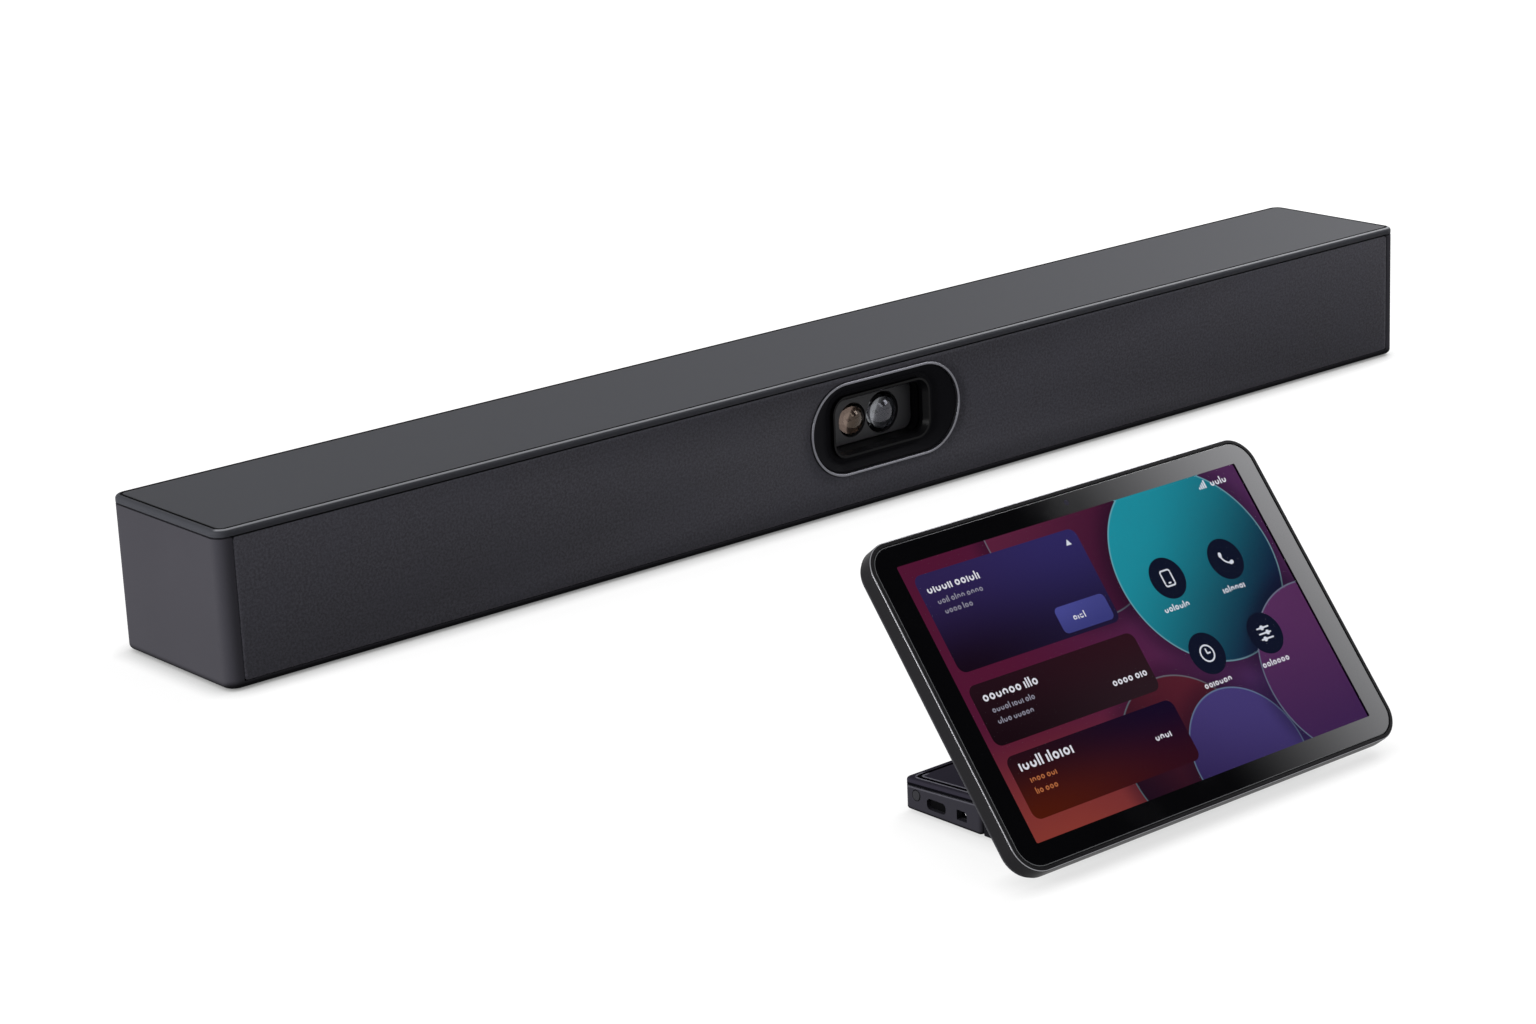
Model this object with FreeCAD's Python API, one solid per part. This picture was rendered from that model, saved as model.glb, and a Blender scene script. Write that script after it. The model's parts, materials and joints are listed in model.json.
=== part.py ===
import FreeCAD, Part
import math
import os

V = FreeCAD.Vector

# Bar body
BAR_LENGTH = 717.0
BAR_DEPTH = 82.5
BAR_HEIGHT = 68.0
BAR_WALL = 2.5
BAR_FRONT_CORNER_R = 6.0
BAR_REAR_CORNER_R = 6.0
BAR_BOTTOM_EDGE_R = 2.5
BAR_UNDERSIDE = 0.6

# Bar top cover
COVER_RIM = 3.0
COVER_EDGE_R = 1.8
COVER_SEAM = 0.8
COVER_GROOVE_INSET = 1.9
COVER_GROOVE_WIDTH = 1.2
COVER_GROOVE_DEPTH = 1.0
SKIRT_DEPTH = 4.0
SKIRT_WALL = 1.4
SKIRT_CLEARANCE = 0.15

# Front panel of cloth on a slotted grille
FRONT_SIDE_RIM = 7.0
FRONT_LIP = 3.0
FRONT_CLEARANCE = 0.25
CLOTH_THICK = 0.8
GRILLE_THICK = 3.0
GRILLE_CORNER_R = 1.5
SLOT_COUNT = 18
SLOT_PITCH = 8.0
SLOT_WIDTH = 3.2
SLOT_HEIGHT = 42.0
TAB_WIDTH = 8.0
TAB_DEPTH = 8.0
TAB_HEIGHT = 6.0
TAB_SCREW_LENGTH = 6.5

# Camera window
WINDOW_WIDTH = 92.0
WINDOW_HEIGHT = 44.0
WINDOW_BELOW_TOP = 28.2
RING_WIDTH = 1.2
RING_EDGE_R = 0.4
RING_PROUD = 0.9
RING_FLANGE = 1.6
RING_FLANGE_THICK = 1.2
RING_CLEARANCE = 0.2
DISH_RIM_DEPTH = 0.6
DISH_BACK_DEPTH = 7.0
DISH_FLOOR_DEPTH = 4.4
DISH_RIM_WIDTH = 0.8
HOOD_WIDTH = 60.0
HOOD_HEIGHT = 29.0
HOOD_CORNER_R = 8.0
HOOD_WALL = 2.4
HOOD_FRONT_DEPTH = 2.4
HOOD_BACK_DEPTH = 19.0
HOOD_BEVEL = 1.4

# Lenses
MAIN_LENS_X = 9.2
SIDE_LENS_X = -9.4
LENS_PLATE_FRONT = 13.0
LENS_PLATE_THICK = 1.6
LENS_PLATE_BEVEL = 0.5
LENS_DROP = 1.0
MAIN_LENS_R = 9.6
MAIN_LENS_RISE = 5.4
SIDE_LENS_R = 7.8
SIDE_LENS_RISE = 5.2
LENS_SEAT = 1.6
LENS_FIT = 0.05
LENS_WELL = 0.4
BARREL_WALL = 0.5
BARREL_LEDGE = 2.0
BARREL_WAIST = 3.0
BARREL_SUNK = 1.3
BARREL_BACK_DEPTH = 22.0
CAMERA_BOARD_THICK = 1.2
BRACKET_THICK = 1.5
BRACKET_WIDTH = 68.0
BRACKET_FOOT = 7.0

# Privacy shutter and its drive
SHUTTER_FRONT = 7.7
SHUTTER_THICK = 0.8
SHUTTER_HEIGHT = 23.0
SHUTTER_WIDTH = 58.0
SHUTTER_TAIL = 22.0
SHUTTER_PARK_GAP = 1.4
SHUTTER_CLEARANCE = 0.35
GUIDE_RAIL = 2.4
GUIDE_BACK = 1.2
GUIDE_FRONT_DEPTH = 7.2
GUIDE_BACK_DEPTH = 10.2
GUIDE_LENGTH = 84.0
GEAR_MODULE = 0.8
GEAR_TEETH = 14
GEAR_WIDTH = 1.2
GEAR_BACKLASH = 0.16
GEAR_FROM_HOOD = 12.0
MOTOR_R = 5.0
MOTOR_LENGTH = 9.0
MOTOR_SHAFT_R = 0.75

# Loudspeakers
SPEAKER_BOX_START = 145.0
SPEAKER_BOX_END_GAP = 30.0
SPEAKER_FLANGE_R = 27.0
SPEAKER_GASKET_THICK = 2.2
SPEAKER_BOX_WALL = 2.0
SPEAKER_BOX_BACK_GAP = 10.0
SPEAKER_BOX_TOP_GAP = 1.5
MAGNET_R = 17.0
MAGNET_THICK = 10.0
POLE_R = 6.8
POLE_LENGTH = 5.5
BASKET_DEPTH = 18.0
BASKET_FLANGE = 2.0
BASKET_WALL = 1.5
BASKET_SEAT = 3.4
BASKET_HOLE_R = 8.0
BASKET_WINDOWS = 6
BASKET_WINDOW_WIDTH = 8.0
BASKET_WINDOW_START = 5.0
BASKET_WINDOW_INNER = 12.0
SURROUND_WIDTH = 3.0
CONE_EDGE_DEPTH = 1.6
CONE_DEPTH = 9.5
CONE_THICK = 0.8
CONE_NECK_R = 7.0
CAP_R = 4.0
CAP_DEPTH = 6.5

# Microphones
MIC_BOARD_START = 60.0
MIC_BOARD_LENGTH = 78.0
MIC_BOARD_HEIGHT = 6.0
MIC_BOARD_THICK = 1.2
MIC_BELOW_TOP = 9.0
MIC_COUNT = 3
MIC_PITCH = 27.0

# Main board and cooler
BOARD_WIDTH = 210.0
BOARD_THICK = 1.6
BOARD_UNDERSIDE = 12.2
BOARD_FRONT_DEPTH = 30.0
CHIP_INSET = 1.0
CHIP_THICK = 2.0
SINK_WIDTH = 78.0
SINK_FRONT_GAP = 1.0
SINK_BACK_GAP = 3.8
SINK_BASE = 3.0
SINK_HEIGHT = 26.0
SINK_FINS = 11
SINK_FIN_THICK = 1.6

# Rear connector bay
BAY_WIDTH = 172.0
BAY_HEIGHT = 20.0
BAY_CORNER_R = 3.0
BAY_DEEP = 10.0
BAY_WALL = 1.5
BAY_CLEARANCE = 0.2
CONNECTOR_PROUD = 0.3
CONNECTOR_CLEARANCE = 0.2
NETWORK_LENGTH = 15.5
POWER_X = -70.0
NETWORK_X = -46.0
VIDEO_IN_X = -18.0
VIDEO_OUT_X = 4.0
USB_A_X = 30.0
USB_C_X = 52.0
BAR_BUTTON_X = 72.0
BAR_BUTTON_R = 3.0
BAR_BUTTON_TRAVEL = 0.8
BUTTON_CLEARANCE = 0.3

# Bar fixings and vents
INSERT_SPACING_X = 260.0
INSERT_SPACING_Z = 34.0
INSERT_LOW_Z = 18.0
INSERT_R = 4.0
INSERT_BORE_R = 2.0
INSERT_LENGTH = 9.0
INSERT_BOSS_R = 6.5
TRIPOD_R = 5.5
TRIPOD_BORE_R = 3.175
TRIPOD_LENGTH = 9.0
BAR_FOOT_R = 7.0
BAR_FOOT_SINK = 1.0
BAR_FOOT_INSET_X = 35.0
BAR_FOOT_INSET_Y = 14.0
VENT_COUNT = 22
VENT_PITCH = 7.0
VENT_WIDTH = 3.0
VENT_HEIGHT = 14.0
REAR_PANEL_WIDTH = 200.0
REAR_PANEL_SILL = 3.0
REAR_PANEL_GAP = 0.15
LOCK_WIDTH = 7.0
LOCK_HEIGHT = 3.0
LOCK_X = -180.0

# Screws
SCREW_HEAD_R = 2.4
SCREW_HEAD_HEIGHT = 1.2
SCREW_SHANK_R = 1.2
SCREW_CLEARANCE = 0.05

# Console place and tilt
CONSOLE_X = -185.6
HINGE_AHEAD = 357.8
HINGE_HEIGHT = 9.0
INCLINE = 51.6

# Console screen unit
SCREEN_WIDTH = 195.0
SCREEN_HEIGHT = 127.6
SCREEN_CORNER_R = 11.0
FRAME_DEPTH = 6.2
FRAME_EDGE_R = 0.7
FRAME_RIM = 1.6
GLASS_GAP = 0.3
GLASS_THICK = 1.1
GLASS_SINK = 0.15
GLASS_CHAMFER = 0.3
LEDGE_WIDTH = 2.4
BACK_COVER_THICK = 2.8
BACK_COVER_EDGE_R = 2.4
BACK_COVER_INSET = 0.4
BACK_COVER_WALL = 1.4
BEZEL_SIDE = 11.4
BEZEL_END = 10.0
LCD_BORDER = 3.0
LCD_THICK = 2.6
SCREEN_BOARD_WIDTH = 118.0
SCREEN_BOARD_HEIGHT = 58.0
SCREEN_BOARD_THICK = 1.0
SENSOR_R = 1.3

# Hinge
HINGE_ABOVE_EDGE = 15.5
HINGE_BEHIND_SCREEN = 6.5
NOSE_R = 6.0
SHAFT_R = 2.5
SHAFT_LENGTH = 126.0
SHAFT_FIT = 0.05
LUG_R = 5.6
LUG_WIDTH = 10.0
LUG_X = 45.0
LUG_SIDE_CLEARANCE = 0.4
LUG_FOOT_UP = 16.0
LUG_FOOT_DOWN = 9.0
LUG_FOOT_THICK = 1.2
LUG_POCKET_BACK = 8.0

# Console foot
BASE_WIDTH = 143.6
BASE_DEPTH = 40.0
BASE_FRONT = 27.4
BASE_UNDERSIDE = 1.0
BASE_WALL = 1.8
BASE_FLOOR = 1.6
BASE_CORNER_R = 3.0
BASE_BACK_HEIGHT = 12.6
BASE_FRONT_HEIGHT = 15.0
LID_THICK = 2.4
LID_SEAM = 0.4
LID_EDGE_R = 0.8
LID_GROOVE_INSET = 3.0
LID_GROOVE_WIDTH = 0.8
LID_GROOVE_DEPTH = 0.5
NECK_GROOVE = 0.9
NECK_SIDE_STEP = 0.6
TONGUE_HALF = 36.0
TONGUE_LENGTH = 16.0
TONGUE_THICK = 3.0
BASE_BOARD_WIDTH = 15.0
BASE_BOARD_THICK = 1.0
BASE_BOARD_LIFT = 0.4
PORT_CENTRE_Z = 5.7
SIDE_MOUTH_WIDTH = 9.8
SIDE_MOUTH_HEIGHT = 4.2
SIDE_MOUTH_R = 1.7
SIDE_USB_FROM_BACK = 17.0
SIDE_USB_SET_BACK = 1.3
SIDE_USB_LENGTH = 6.8
SIDE_JACK_FROM_BACK = 30.2
SIDE_BUTTON_FROM_BACK = 6.6
SIDE_BUTTON_Z = 7.2
SIDE_BUTTON_R = 1.9
SIDE_BUTTON_TRAVEL = 0.6
SIDE_COLLAR_THICK = 0.8
BALLAST_WIDTH = 80.0
BALLAST_DEPTH = 18.0
BALLAST_THICK = 5.0
BASE_FOOT_R = 5.0
BASE_FOOT_SINK = 0.6
BASE_FOOT_X = 60.0
BASE_BOSS_X = 46.0
BASE_BOSS_R = 3.0

# Levels and planes that follow from the sizes above
FRAME_FRONT = HINGE_BEHIND_SCREEN + BACK_COVER_THICK + FRAME_DEPTH
SIN_T = math.sin(math.radians(INCLINE))
COS_T = math.cos(math.radians(INCLINE))
EDGE_UP = FRAME_EDGE_R - HINGE_ABOVE_EDGE
EDGE_OUT = FRAME_FRONT - FRAME_EDGE_R
SCREEN_REACH = FRAME_EDGE_R + EDGE_OUT * SIN_T - EDGE_UP * COS_T
BAR_FRONT = (HINGE_AHEAD + SCREEN_REACH - BAR_DEPTH) / 2
BAR_BACK = BAR_FRONT + BAR_DEPTH
HINGE_Y = BAR_FRONT - HINGE_AHEAD
COVER_BOTTOM = BAR_HEIGHT - COVER_RIM
HOUSING_TOP = COVER_BOTTOM - COVER_SEAM
BAR_FLOOR = BAR_UNDERSIDE + BAR_WALL
MOUTH_HALF = BAR_LENGTH / 2 - FRONT_SIDE_RIM
MOUTH_BOTTOM = BAR_UNDERSIDE + FRONT_LIP
PANEL_BACK = CLOTH_THICK + GRILLE_THICK
WINDOW_Z = BAR_HEIGHT - WINDOW_BELOW_TOP
BARREL_FRONT = LENS_PLATE_FRONT + BARREL_SUNK
LENS_Z = WINDOW_Z - LENS_DROP
BOARD_TOP = BOARD_UNDERSIDE + BOARD_THICK
TRIPOD_DEPTH = BAR_DEPTH / 2
BAY_FLOOR = BAR_DEPTH - BAY_DEEP
BAY_Z = BOARD_TOP + BAY_HEIGHT / 2 - 3.0
MOUTH_DEPTH = BAY_FLOOR + CONNECTOR_PROUD
BOARD_BACK_DEPTH = BAY_FLOOR - BAY_WALL - 0.5
SINK_START = BOARD_FRONT_DEPTH + SINK_FRONT_GAP
SINK_DEPTH = MOUTH_DEPTH - NETWORK_LENGTH - SINK_BACK_GAP - SINK_START
CHIP_SIZE = SINK_DEPTH - 2 * CHIP_INSET
GUIDE_START = HOOD_WIDTH / 2
SHUTTER_LEFT = HOOD_WIDTH / 2 - SHUTTER_PARK_GAP
GEAR_PITCH_R = GEAR_MODULE * GEAR_TEETH / 2
GEAR_X = GUIDE_START + GEAR_FROM_HOOD
RACK_PITCH_Z = WINDOW_Z - SHUTTER_HEIGHT / 2 + 0.9 * GEAR_MODULE
GEAR_Z = RACK_PITCH_Z - GEAR_PITCH_R
SPEAKER_BOX_WIDTH = BAR_LENGTH / 2 - SPEAKER_BOX_END_GAP - SPEAKER_BOX_START
SPEAKER_X = SPEAKER_BOX_START + SPEAKER_BOX_WIDTH / 2
SPEAKER_Z = (BAR_FLOOR + HOUSING_TOP) / 2
SPEAKER_FRONT = PANEL_BACK + SPEAKER_GASKET_THICK
BASE_BACK = BASE_FRONT + BASE_DEPTH
BASE_HALF = BASE_WIDTH / 2
BASE_STOCK = 2 * BASE_FRONT_HEIGHT
BASE_SLOPE = (BASE_FRONT_HEIGHT - BASE_BACK_HEIGHT) / BASE_DEPTH
BASE_INSIDE = BASE_UNDERSIDE + BASE_FLOOR
NECK_BACK = BASE_FRONT - NECK_GROOVE
NECK_HALF = BASE_HALF - NECK_SIDE_STEP
BASE_BOARD_TOP = BASE_INSIDE + BASE_BOARD_LIFT + BASE_BOARD_THICK
BASE_BOARD_LEFT = BASE_WALL + 0.3 - BASE_HALF
SIDE_USB_Y = BASE_BACK - SIDE_USB_FROM_BACK
SIDE_JACK_Y = BASE_BACK - SIDE_JACK_FROM_BACK
SIDE_BUTTON_Y = BASE_BACK - SIDE_BUTTON_FROM_BACK
PICTURE_WIDTH = SCREEN_WIDTH - 2 * BEZEL_SIDE
PICTURE_HEIGHT = SCREEN_HEIGHT - 2 * BEZEL_END
SCREEN_MID = SCREEN_HEIGHT / 2 - HINGE_ABOVE_EDGE
COVER_FRONT = HINGE_BEHIND_SCREEN + BACK_COVER_THICK
GLASS_FRONT = FRAME_FRONT - GLASS_SINK
GLASS_BACK = GLASS_FRONT - GLASS_THICK
GLASS_WIDTH = SCREEN_WIDTH - 2 * FRAME_RIM - 2 * GLASS_GAP
GLASS_HEIGHT = SCREEN_HEIGHT - 2 * FRAME_RIM - 2 * GLASS_GAP
GLASS_CORNER_R = SCREEN_CORNER_R - FRAME_RIM - GLASS_GAP


# Drawing helpers
def block(x0, x1, y0, y1, z0, z1):
    return Part.makeBox(x1 - x0, y1 - y0, z1 - z0, V(x0, y0, z0))


def rounded_polygon(points, radii):
    """Closed wire in the XY plane with one radius for each corner."""
    count = len(points)
    corners = []
    for i in range(count):
        here = V(points[i][0], points[i][1], 0)
        before = V(points[i - 1][0], points[i - 1][1], 0) - here
        after = V(points[(i + 1) % count][0], points[(i + 1) % count][1], 0) - here
        before.normalize()
        after.normalize()
        half = before.getAngle(after) / 2
        reach = radii[i] / math.tan(half)
        middle = before + after
        middle.normalize()
        middle.multiply(radii[i] / math.sin(half) - radii[i])
        corners.append((here + before * reach, here + middle, here + after * reach))
    edges = []
    for i in range(count):
        start, mid, end = corners[i]
        if radii[i] > 0:
            edges.append(Part.Arc(start, mid, end).toShape())
        following = corners[(i + 1) % count][0]
        if (following - end).Length > 1e-6:
            edges.append(Part.makeLine(end, following))
    return Part.Wire(edges)


def rect(width, height, radius, cx=0.0, cy=0.0):
    x = width / 2
    y = height / 2
    points = [(cx - x, cy - y), (cx + x, cy - y), (cx + x, cy + y), (cx - x, cy + y)]
    return rounded_polygon(points, [radius] * 4)


def stadium(width, height, cx=0.0, cy=0.0):
    return rect(width, height, height / 2, cx, cy)


def circle(radius, cx=0.0, cy=0.0):
    return Part.Wire([Part.makeCircle(radius, V(cx, cy, 0))])


def slab(wire, thickness, holes=()):
    face = Part.makeFace([wire] + list(holes), "Part::FaceMakerBullseye")
    return face.extrude(V(0, 0, thickness))


def turned(points):
    """Solid of revolution about Z from (radius, height) points."""
    corners = [V(r, 0, z) for r, z in points]
    face = Part.Face(Part.makePolygon(corners + [corners[0]]))
    return face.revolve(V(0, 0, 0), V(0, 0, 1), 360)


def dome(radius, rise, seat):
    """Lens with a spherical front of the given rise and a short cylindrical seat."""
    ball_r = (radius * radius + rise * rise) / (2 * rise)
    ball = Part.makeSphere(ball_r, V(0, 0, rise - ball_r))
    cap = ball.common(Part.makeCylinder(radius, rise + 1.0))
    return cap.fuse(Part.makeCylinder(radius, seat, V(0, 0, -seat))).removeSplitter()


def one(shape):
    """Single solid taken out of a boolean result."""
    clean = shape.removeSplitter()
    if len(clean.Solids) == 1:
        return clean.Solids[0]
    return Part.makeCompound(clean.Solids)


def group(shapes):
    solids = []
    for shape in shapes:
        solids.extend(shape.Solids)
    return Part.makeCompound(solids)


def soften(shape, radius, test):
    return shape.makeFillet(radius, [e for e in shape.Edges if test(e)])


def at_level(level):
    """Test for edges that lie wholly at one height."""
    def test(edge):
        box = edge.BoundBox
        return abs(box.ZMin - level) < 1e-4 and abs(box.ZMax - level) < 1e-4
    return test


# Placing helpers
def depth(distance):
    """Row Y of a plane that far behind the front face of the bar."""
    return BAR_FRONT + distance


def facing_front(shape, back_depth, x=0.0, z=0.0):
    """Drawing in XY turned so that its Y is up and its Z looks out of the front."""
    placed = shape.copy()
    turn = FreeCAD.Rotation(V(1, 0, 0), 90)
    placed.Placement = FreeCAD.Placement(V(x, depth(back_depth), z), turn)
    return placed


def facing_rear(shape, front_depth, x=0.0, z=0.0):
    """Drawing in XY turned so that its Y is up and its Z looks out of the back."""
    placed = shape.copy()
    turn = FreeCAD.Rotation(V(0, 1, 1), 180)
    placed.Placement = FreeCAD.Placement(V(x, depth(front_depth), z), turn)
    return placed


def front_plate(wire, near, far, holes=()):
    return facing_front(slab(wire, far - near, holes), far)


def along_x(shape, x=0.0):
    """Drawing in XY turned so that its X runs back, its Y up and its Z to the right."""
    placed = shape.copy()
    placed.Placement = FreeCAD.Placement(V(x, 0, 0), FreeCAD.Rotation(V(1, 1, 1), 120))
    return placed


def on_desk(shape):
    """Console foot piece moved from the hinge frame to its place on the desk."""
    placed = shape.copy()
    placed.translate(V(CONSOLE_X, HINGE_Y, 0))
    return placed


def on_hinge(shape):
    """Screen piece, drawn about the hinge axis, leaned back and put in place."""
    placed = shape.copy()
    turn = FreeCAD.Rotation(V(1, 0, 0), INCLINE)
    place = FreeCAD.Placement(V(CONSOLE_X, HINGE_Y, HINGE_HEIGHT), turn)
    placed.Placement = place.multiply(placed.Placement)
    return placed


# Bar housing and covers
def bar_plan(inset, bottom, top):
    half = BAR_LENGTH / 2 - inset
    near = BAR_FRONT + inset
    far = BAR_BACK - inset
    front_r = max(BAR_FRONT_CORNER_R - inset, 0.5)
    rear_r = max(BAR_REAR_CORNER_R - inset, 0.5)
    points = [(-half, near), (half, near), (half, far), (-half, far)]
    solid = slab(rounded_polygon(points, [front_r, front_r, rear_r, rear_r]), top - bottom)
    solid.translate(V(0, 0, bottom))
    return solid


def insert_places():
    xs = (-INSERT_SPACING_X / 2, INSERT_SPACING_X / 2)
    zs = (INSERT_LOW_Z, INSERT_LOW_Z + INSERT_SPACING_Z)
    return [(x, z) for x in xs for z in zs]


def bar_foot_places():
    x = BAR_LENGTH / 2 - BAR_FOOT_INSET_X
    near = depth(BAR_FOOT_INSET_Y)
    far = depth(BAR_DEPTH - BAR_FOOT_INSET_Y)
    return [(sx * x, y) for sx in (-1, 1) for y in (near, far)]


def tab_places():
    outer = MOUTH_HALF - TAB_WIDTH
    inner = SPEAKER_X - SPEAKER_BOX_WIDTH / 2 - TAB_WIDTH
    third = WINDOW_WIDTH / 2 + TAB_WIDTH
    return [s * x for s in (-1, 1) for x in (outer, inner, third)]


def standoff_places():
    x = BOARD_WIDTH / 2 - 6.0
    near = depth(BOARD_FRONT_DEPTH + 6.0)
    far = depth(BOARD_BACK_DEPTH - 6.0)
    return [(sx * x, y) for sx in (-1, 1) for y in (near, far)]


def bar_shell():
    """Tub of the bar with its bosses and openings, before the rear panel is parted from it."""
    outer = bar_plan(0, BAR_UNDERSIDE, HOUSING_TOP)
    outer = soften(outer, BAR_BOTTOM_EDGE_R, at_level(BAR_UNDERSIDE))
    cavity = bar_plan(BAR_WALL, BAR_FLOOR, HOUSING_TOP + 1)
    mouth = block(-MOUTH_HALF, MOUTH_HALF, depth(-1), depth(BAR_WALL + 1), MOUTH_BOTTOM, HOUSING_TOP + 1)
    shell = outer.cut([cavity, mouth])
    added = []
    removed = []
    back = V(0, -1, 0)
    up = V(0, 0, 1)
    for x, z in insert_places():
        added.append(Part.makeCylinder(INSERT_BOSS_R, INSERT_LENGTH, V(x, BAR_BACK - 1.0, z), back))
        removed.append(Part.makeCylinder(INSERT_R, INSERT_LENGTH, V(x, BAR_BACK, z), back))
    tripod = V(0, depth(TRIPOD_DEPTH), BAR_UNDERSIDE)
    added.append(Part.makeCylinder(TRIPOD_R + 3.0, TRIPOD_LENGTH - 0.5, tripod + V(0, 0, 1.0), up))
    removed.append(Part.makeCylinder(TRIPOD_R, TRIPOD_LENGTH, tripod, up))
    for x, y in standoff_places():
        added.append(Part.makeCylinder(3.2, BOARD_UNDERSIDE - BAR_FLOOR + 1.0, V(x, y, BAR_FLOOR - 1.0), up))
    for x, y in bar_foot_places():
        removed.append(Part.makeCylinder(BAR_FOOT_R + 0.1, BAR_FOOT_SINK, V(x, y, BAR_UNDERSIDE), up))
    for x in tab_places():
        seat = V(x, depth(PANEL_BACK + TAB_DEPTH / 2), BAR_UNDERSIDE)
        removed.append(Part.makeCylinder(SCREW_HEAD_R + 0.2, SCREW_HEAD_HEIGHT, seat, up))
        removed.append(Part.makeCylinder(SCREW_SHANK_R + 0.3, BAR_WALL + 1.0, seat, up))
    bay = slab(rect(BAY_WIDTH, BAY_HEIGHT, BAY_CORNER_R), 2 * BAR_WALL)
    removed.append(facing_rear(bay, BAR_DEPTH - 1.5 * BAR_WALL, 0, BAY_Z))
    lock = slab(rect(LOCK_WIDTH, LOCK_HEIGHT, 1.0), 2 * BAR_WALL)
    removed.append(facing_rear(lock, BAR_DEPTH - 1.5 * BAR_WALL, LOCK_X, BAY_Z))
    vent_z = (BAY_Z + BAY_HEIGHT / 2 + HOUSING_TOP - SKIRT_DEPTH) / 2
    for i in range(VENT_COUNT):
        x = (i - (VENT_COUNT - 1) / 2) * VENT_PITCH
        vent = slab(rect(VENT_WIDTH, VENT_HEIGHT, VENT_WIDTH / 2), 2 * BAR_WALL)
        removed.append(facing_rear(vent, BAR_DEPTH - 1.5 * BAR_WALL, x, vent_z))
    return one(shell.fuse(added).cut(removed))


def rear_notch(gap):
    half = REAR_PANEL_WIDTH / 2 + gap
    low = BAR_FLOOR + REAR_PANEL_SILL - gap
    return block(-half, half, BAR_BACK - BAR_WALL, BAR_BACK + 1, low, HOUSING_TOP + 1)


def bar_housing():
    return one(bar_shell().cut(rear_notch(REAR_PANEL_GAP)))


def rear_panel():
    return one(bar_shell().common(rear_notch(0)))


def bar_top_cover():
    plate = bar_plan(0, COVER_BOTTOM, BAR_HEIGHT)
    plate = soften(plate, COVER_EDGE_R, at_level(BAR_HEIGHT))
    outside = BAR_WALL + SKIRT_CLEARANCE
    low = COVER_BOTTOM - SKIRT_DEPTH
    skirt = bar_plan(outside, low, COVER_BOTTOM)
    hollow = bar_plan(outside + SKIRT_WALL, low - 1, COVER_BOTTOM + 1)
    clear = block(-BAR_LENGTH, BAR_LENGTH, depth(-1), depth(PANEL_BACK + 1.2), low - 1, COVER_BOTTOM)
    groove_low = BAR_HEIGHT - COVER_GROOVE_DEPTH
    groove = bar_plan(COVER_GROOVE_INSET, groove_low, BAR_HEIGHT + 1)
    island = bar_plan(COVER_GROOVE_INSET + COVER_GROOVE_WIDTH, groove_low - 1, BAR_HEIGHT + 2)
    return one(plate.cut(groove.cut(island)).fuse(skirt.cut([hollow, clear])))


def front_outline():
    width = 2 * (MOUTH_HALF - FRONT_CLEARANCE)
    low = MOUTH_BOTTOM + FRONT_CLEARANCE
    return rect(width, HOUSING_TOP - low, GRILLE_CORNER_R, 0, (HOUSING_TOP + low) / 2)


def window_hole():
    return stadium(WINDOW_WIDTH + 2 * RING_CLEARANCE, WINDOW_HEIGHT + 2 * RING_CLEARANCE, 0, WINDOW_Z)


def front_cloth():
    return front_plate(front_outline(), 0, CLOTH_THICK, [window_hole()])


def front_grille():
    holes = [window_hole()]
    for side in (-1, 1):
        for i in range(SLOT_COUNT):
            x = side * SPEAKER_X + (i - (SLOT_COUNT - 1) / 2) * SLOT_PITCH
            holes.append(rect(SLOT_WIDTH, SLOT_HEIGHT, SLOT_WIDTH / 2, x, SPEAKER_Z))
    plate = front_plate(front_outline(), CLOTH_THICK, PANEL_BACK, holes)
    tabs = []
    bores = []
    for x in tab_places():
        near = depth(PANEL_BACK - 0.5)
        far = depth(PANEL_BACK + TAB_DEPTH)
        tabs.append(block(x - TAB_WIDTH / 2, x + TAB_WIDTH / 2, near, far, BAR_FLOOR, BAR_FLOOR + TAB_HEIGHT))
        seat = V(x, depth(PANEL_BACK + TAB_DEPTH / 2), BAR_UNDERSIDE)
        bores.append(Part.makeCylinder(SCREW_SHANK_R + SCREW_CLEARANCE, BAR_WALL + TAB_HEIGHT + 0.5, seat))
    return one(plate.fuse(tabs).cut(bores))


def screw(length):
    """Pan head at the bottom with a cross recess, shank upward."""
    head = Part.makeCylinder(SCREW_HEAD_R, SCREW_HEAD_HEIGHT - 0.1, V(0, 0, 0.1))
    head = soften(head, 0.4, at_level(0.1))
    shank = Part.makeCylinder(SCREW_SHANK_R, length, V(0, 0, SCREW_HEAD_HEIGHT - 0.1))
    arm = SCREW_HEAD_R * 0.6
    cross = [block(-arm, arm, -0.3, 0.3, 0, 0.7), block(-0.3, 0.3, -arm, arm, 0, 0.7)]
    return one(head.fuse(shank).cut(cross))


def bar_screws():
    placed = []
    for x in tab_places():
        item = screw(TAB_SCREW_LENGTH)
        item.translate(V(x, depth(PANEL_BACK + TAB_DEPTH / 2), BAR_UNDERSIDE))
        placed.append(item)
    return group(placed)


def bar_feet():
    feet = []
    for x, y in bar_foot_places():
        foot = Part.makeCylinder(BAR_FOOT_R, BAR_UNDERSIDE + BAR_FOOT_SINK, V(x, y, 0))
        feet.append(soften(foot, 0.4, at_level(0)))
    return group(feet)


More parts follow.
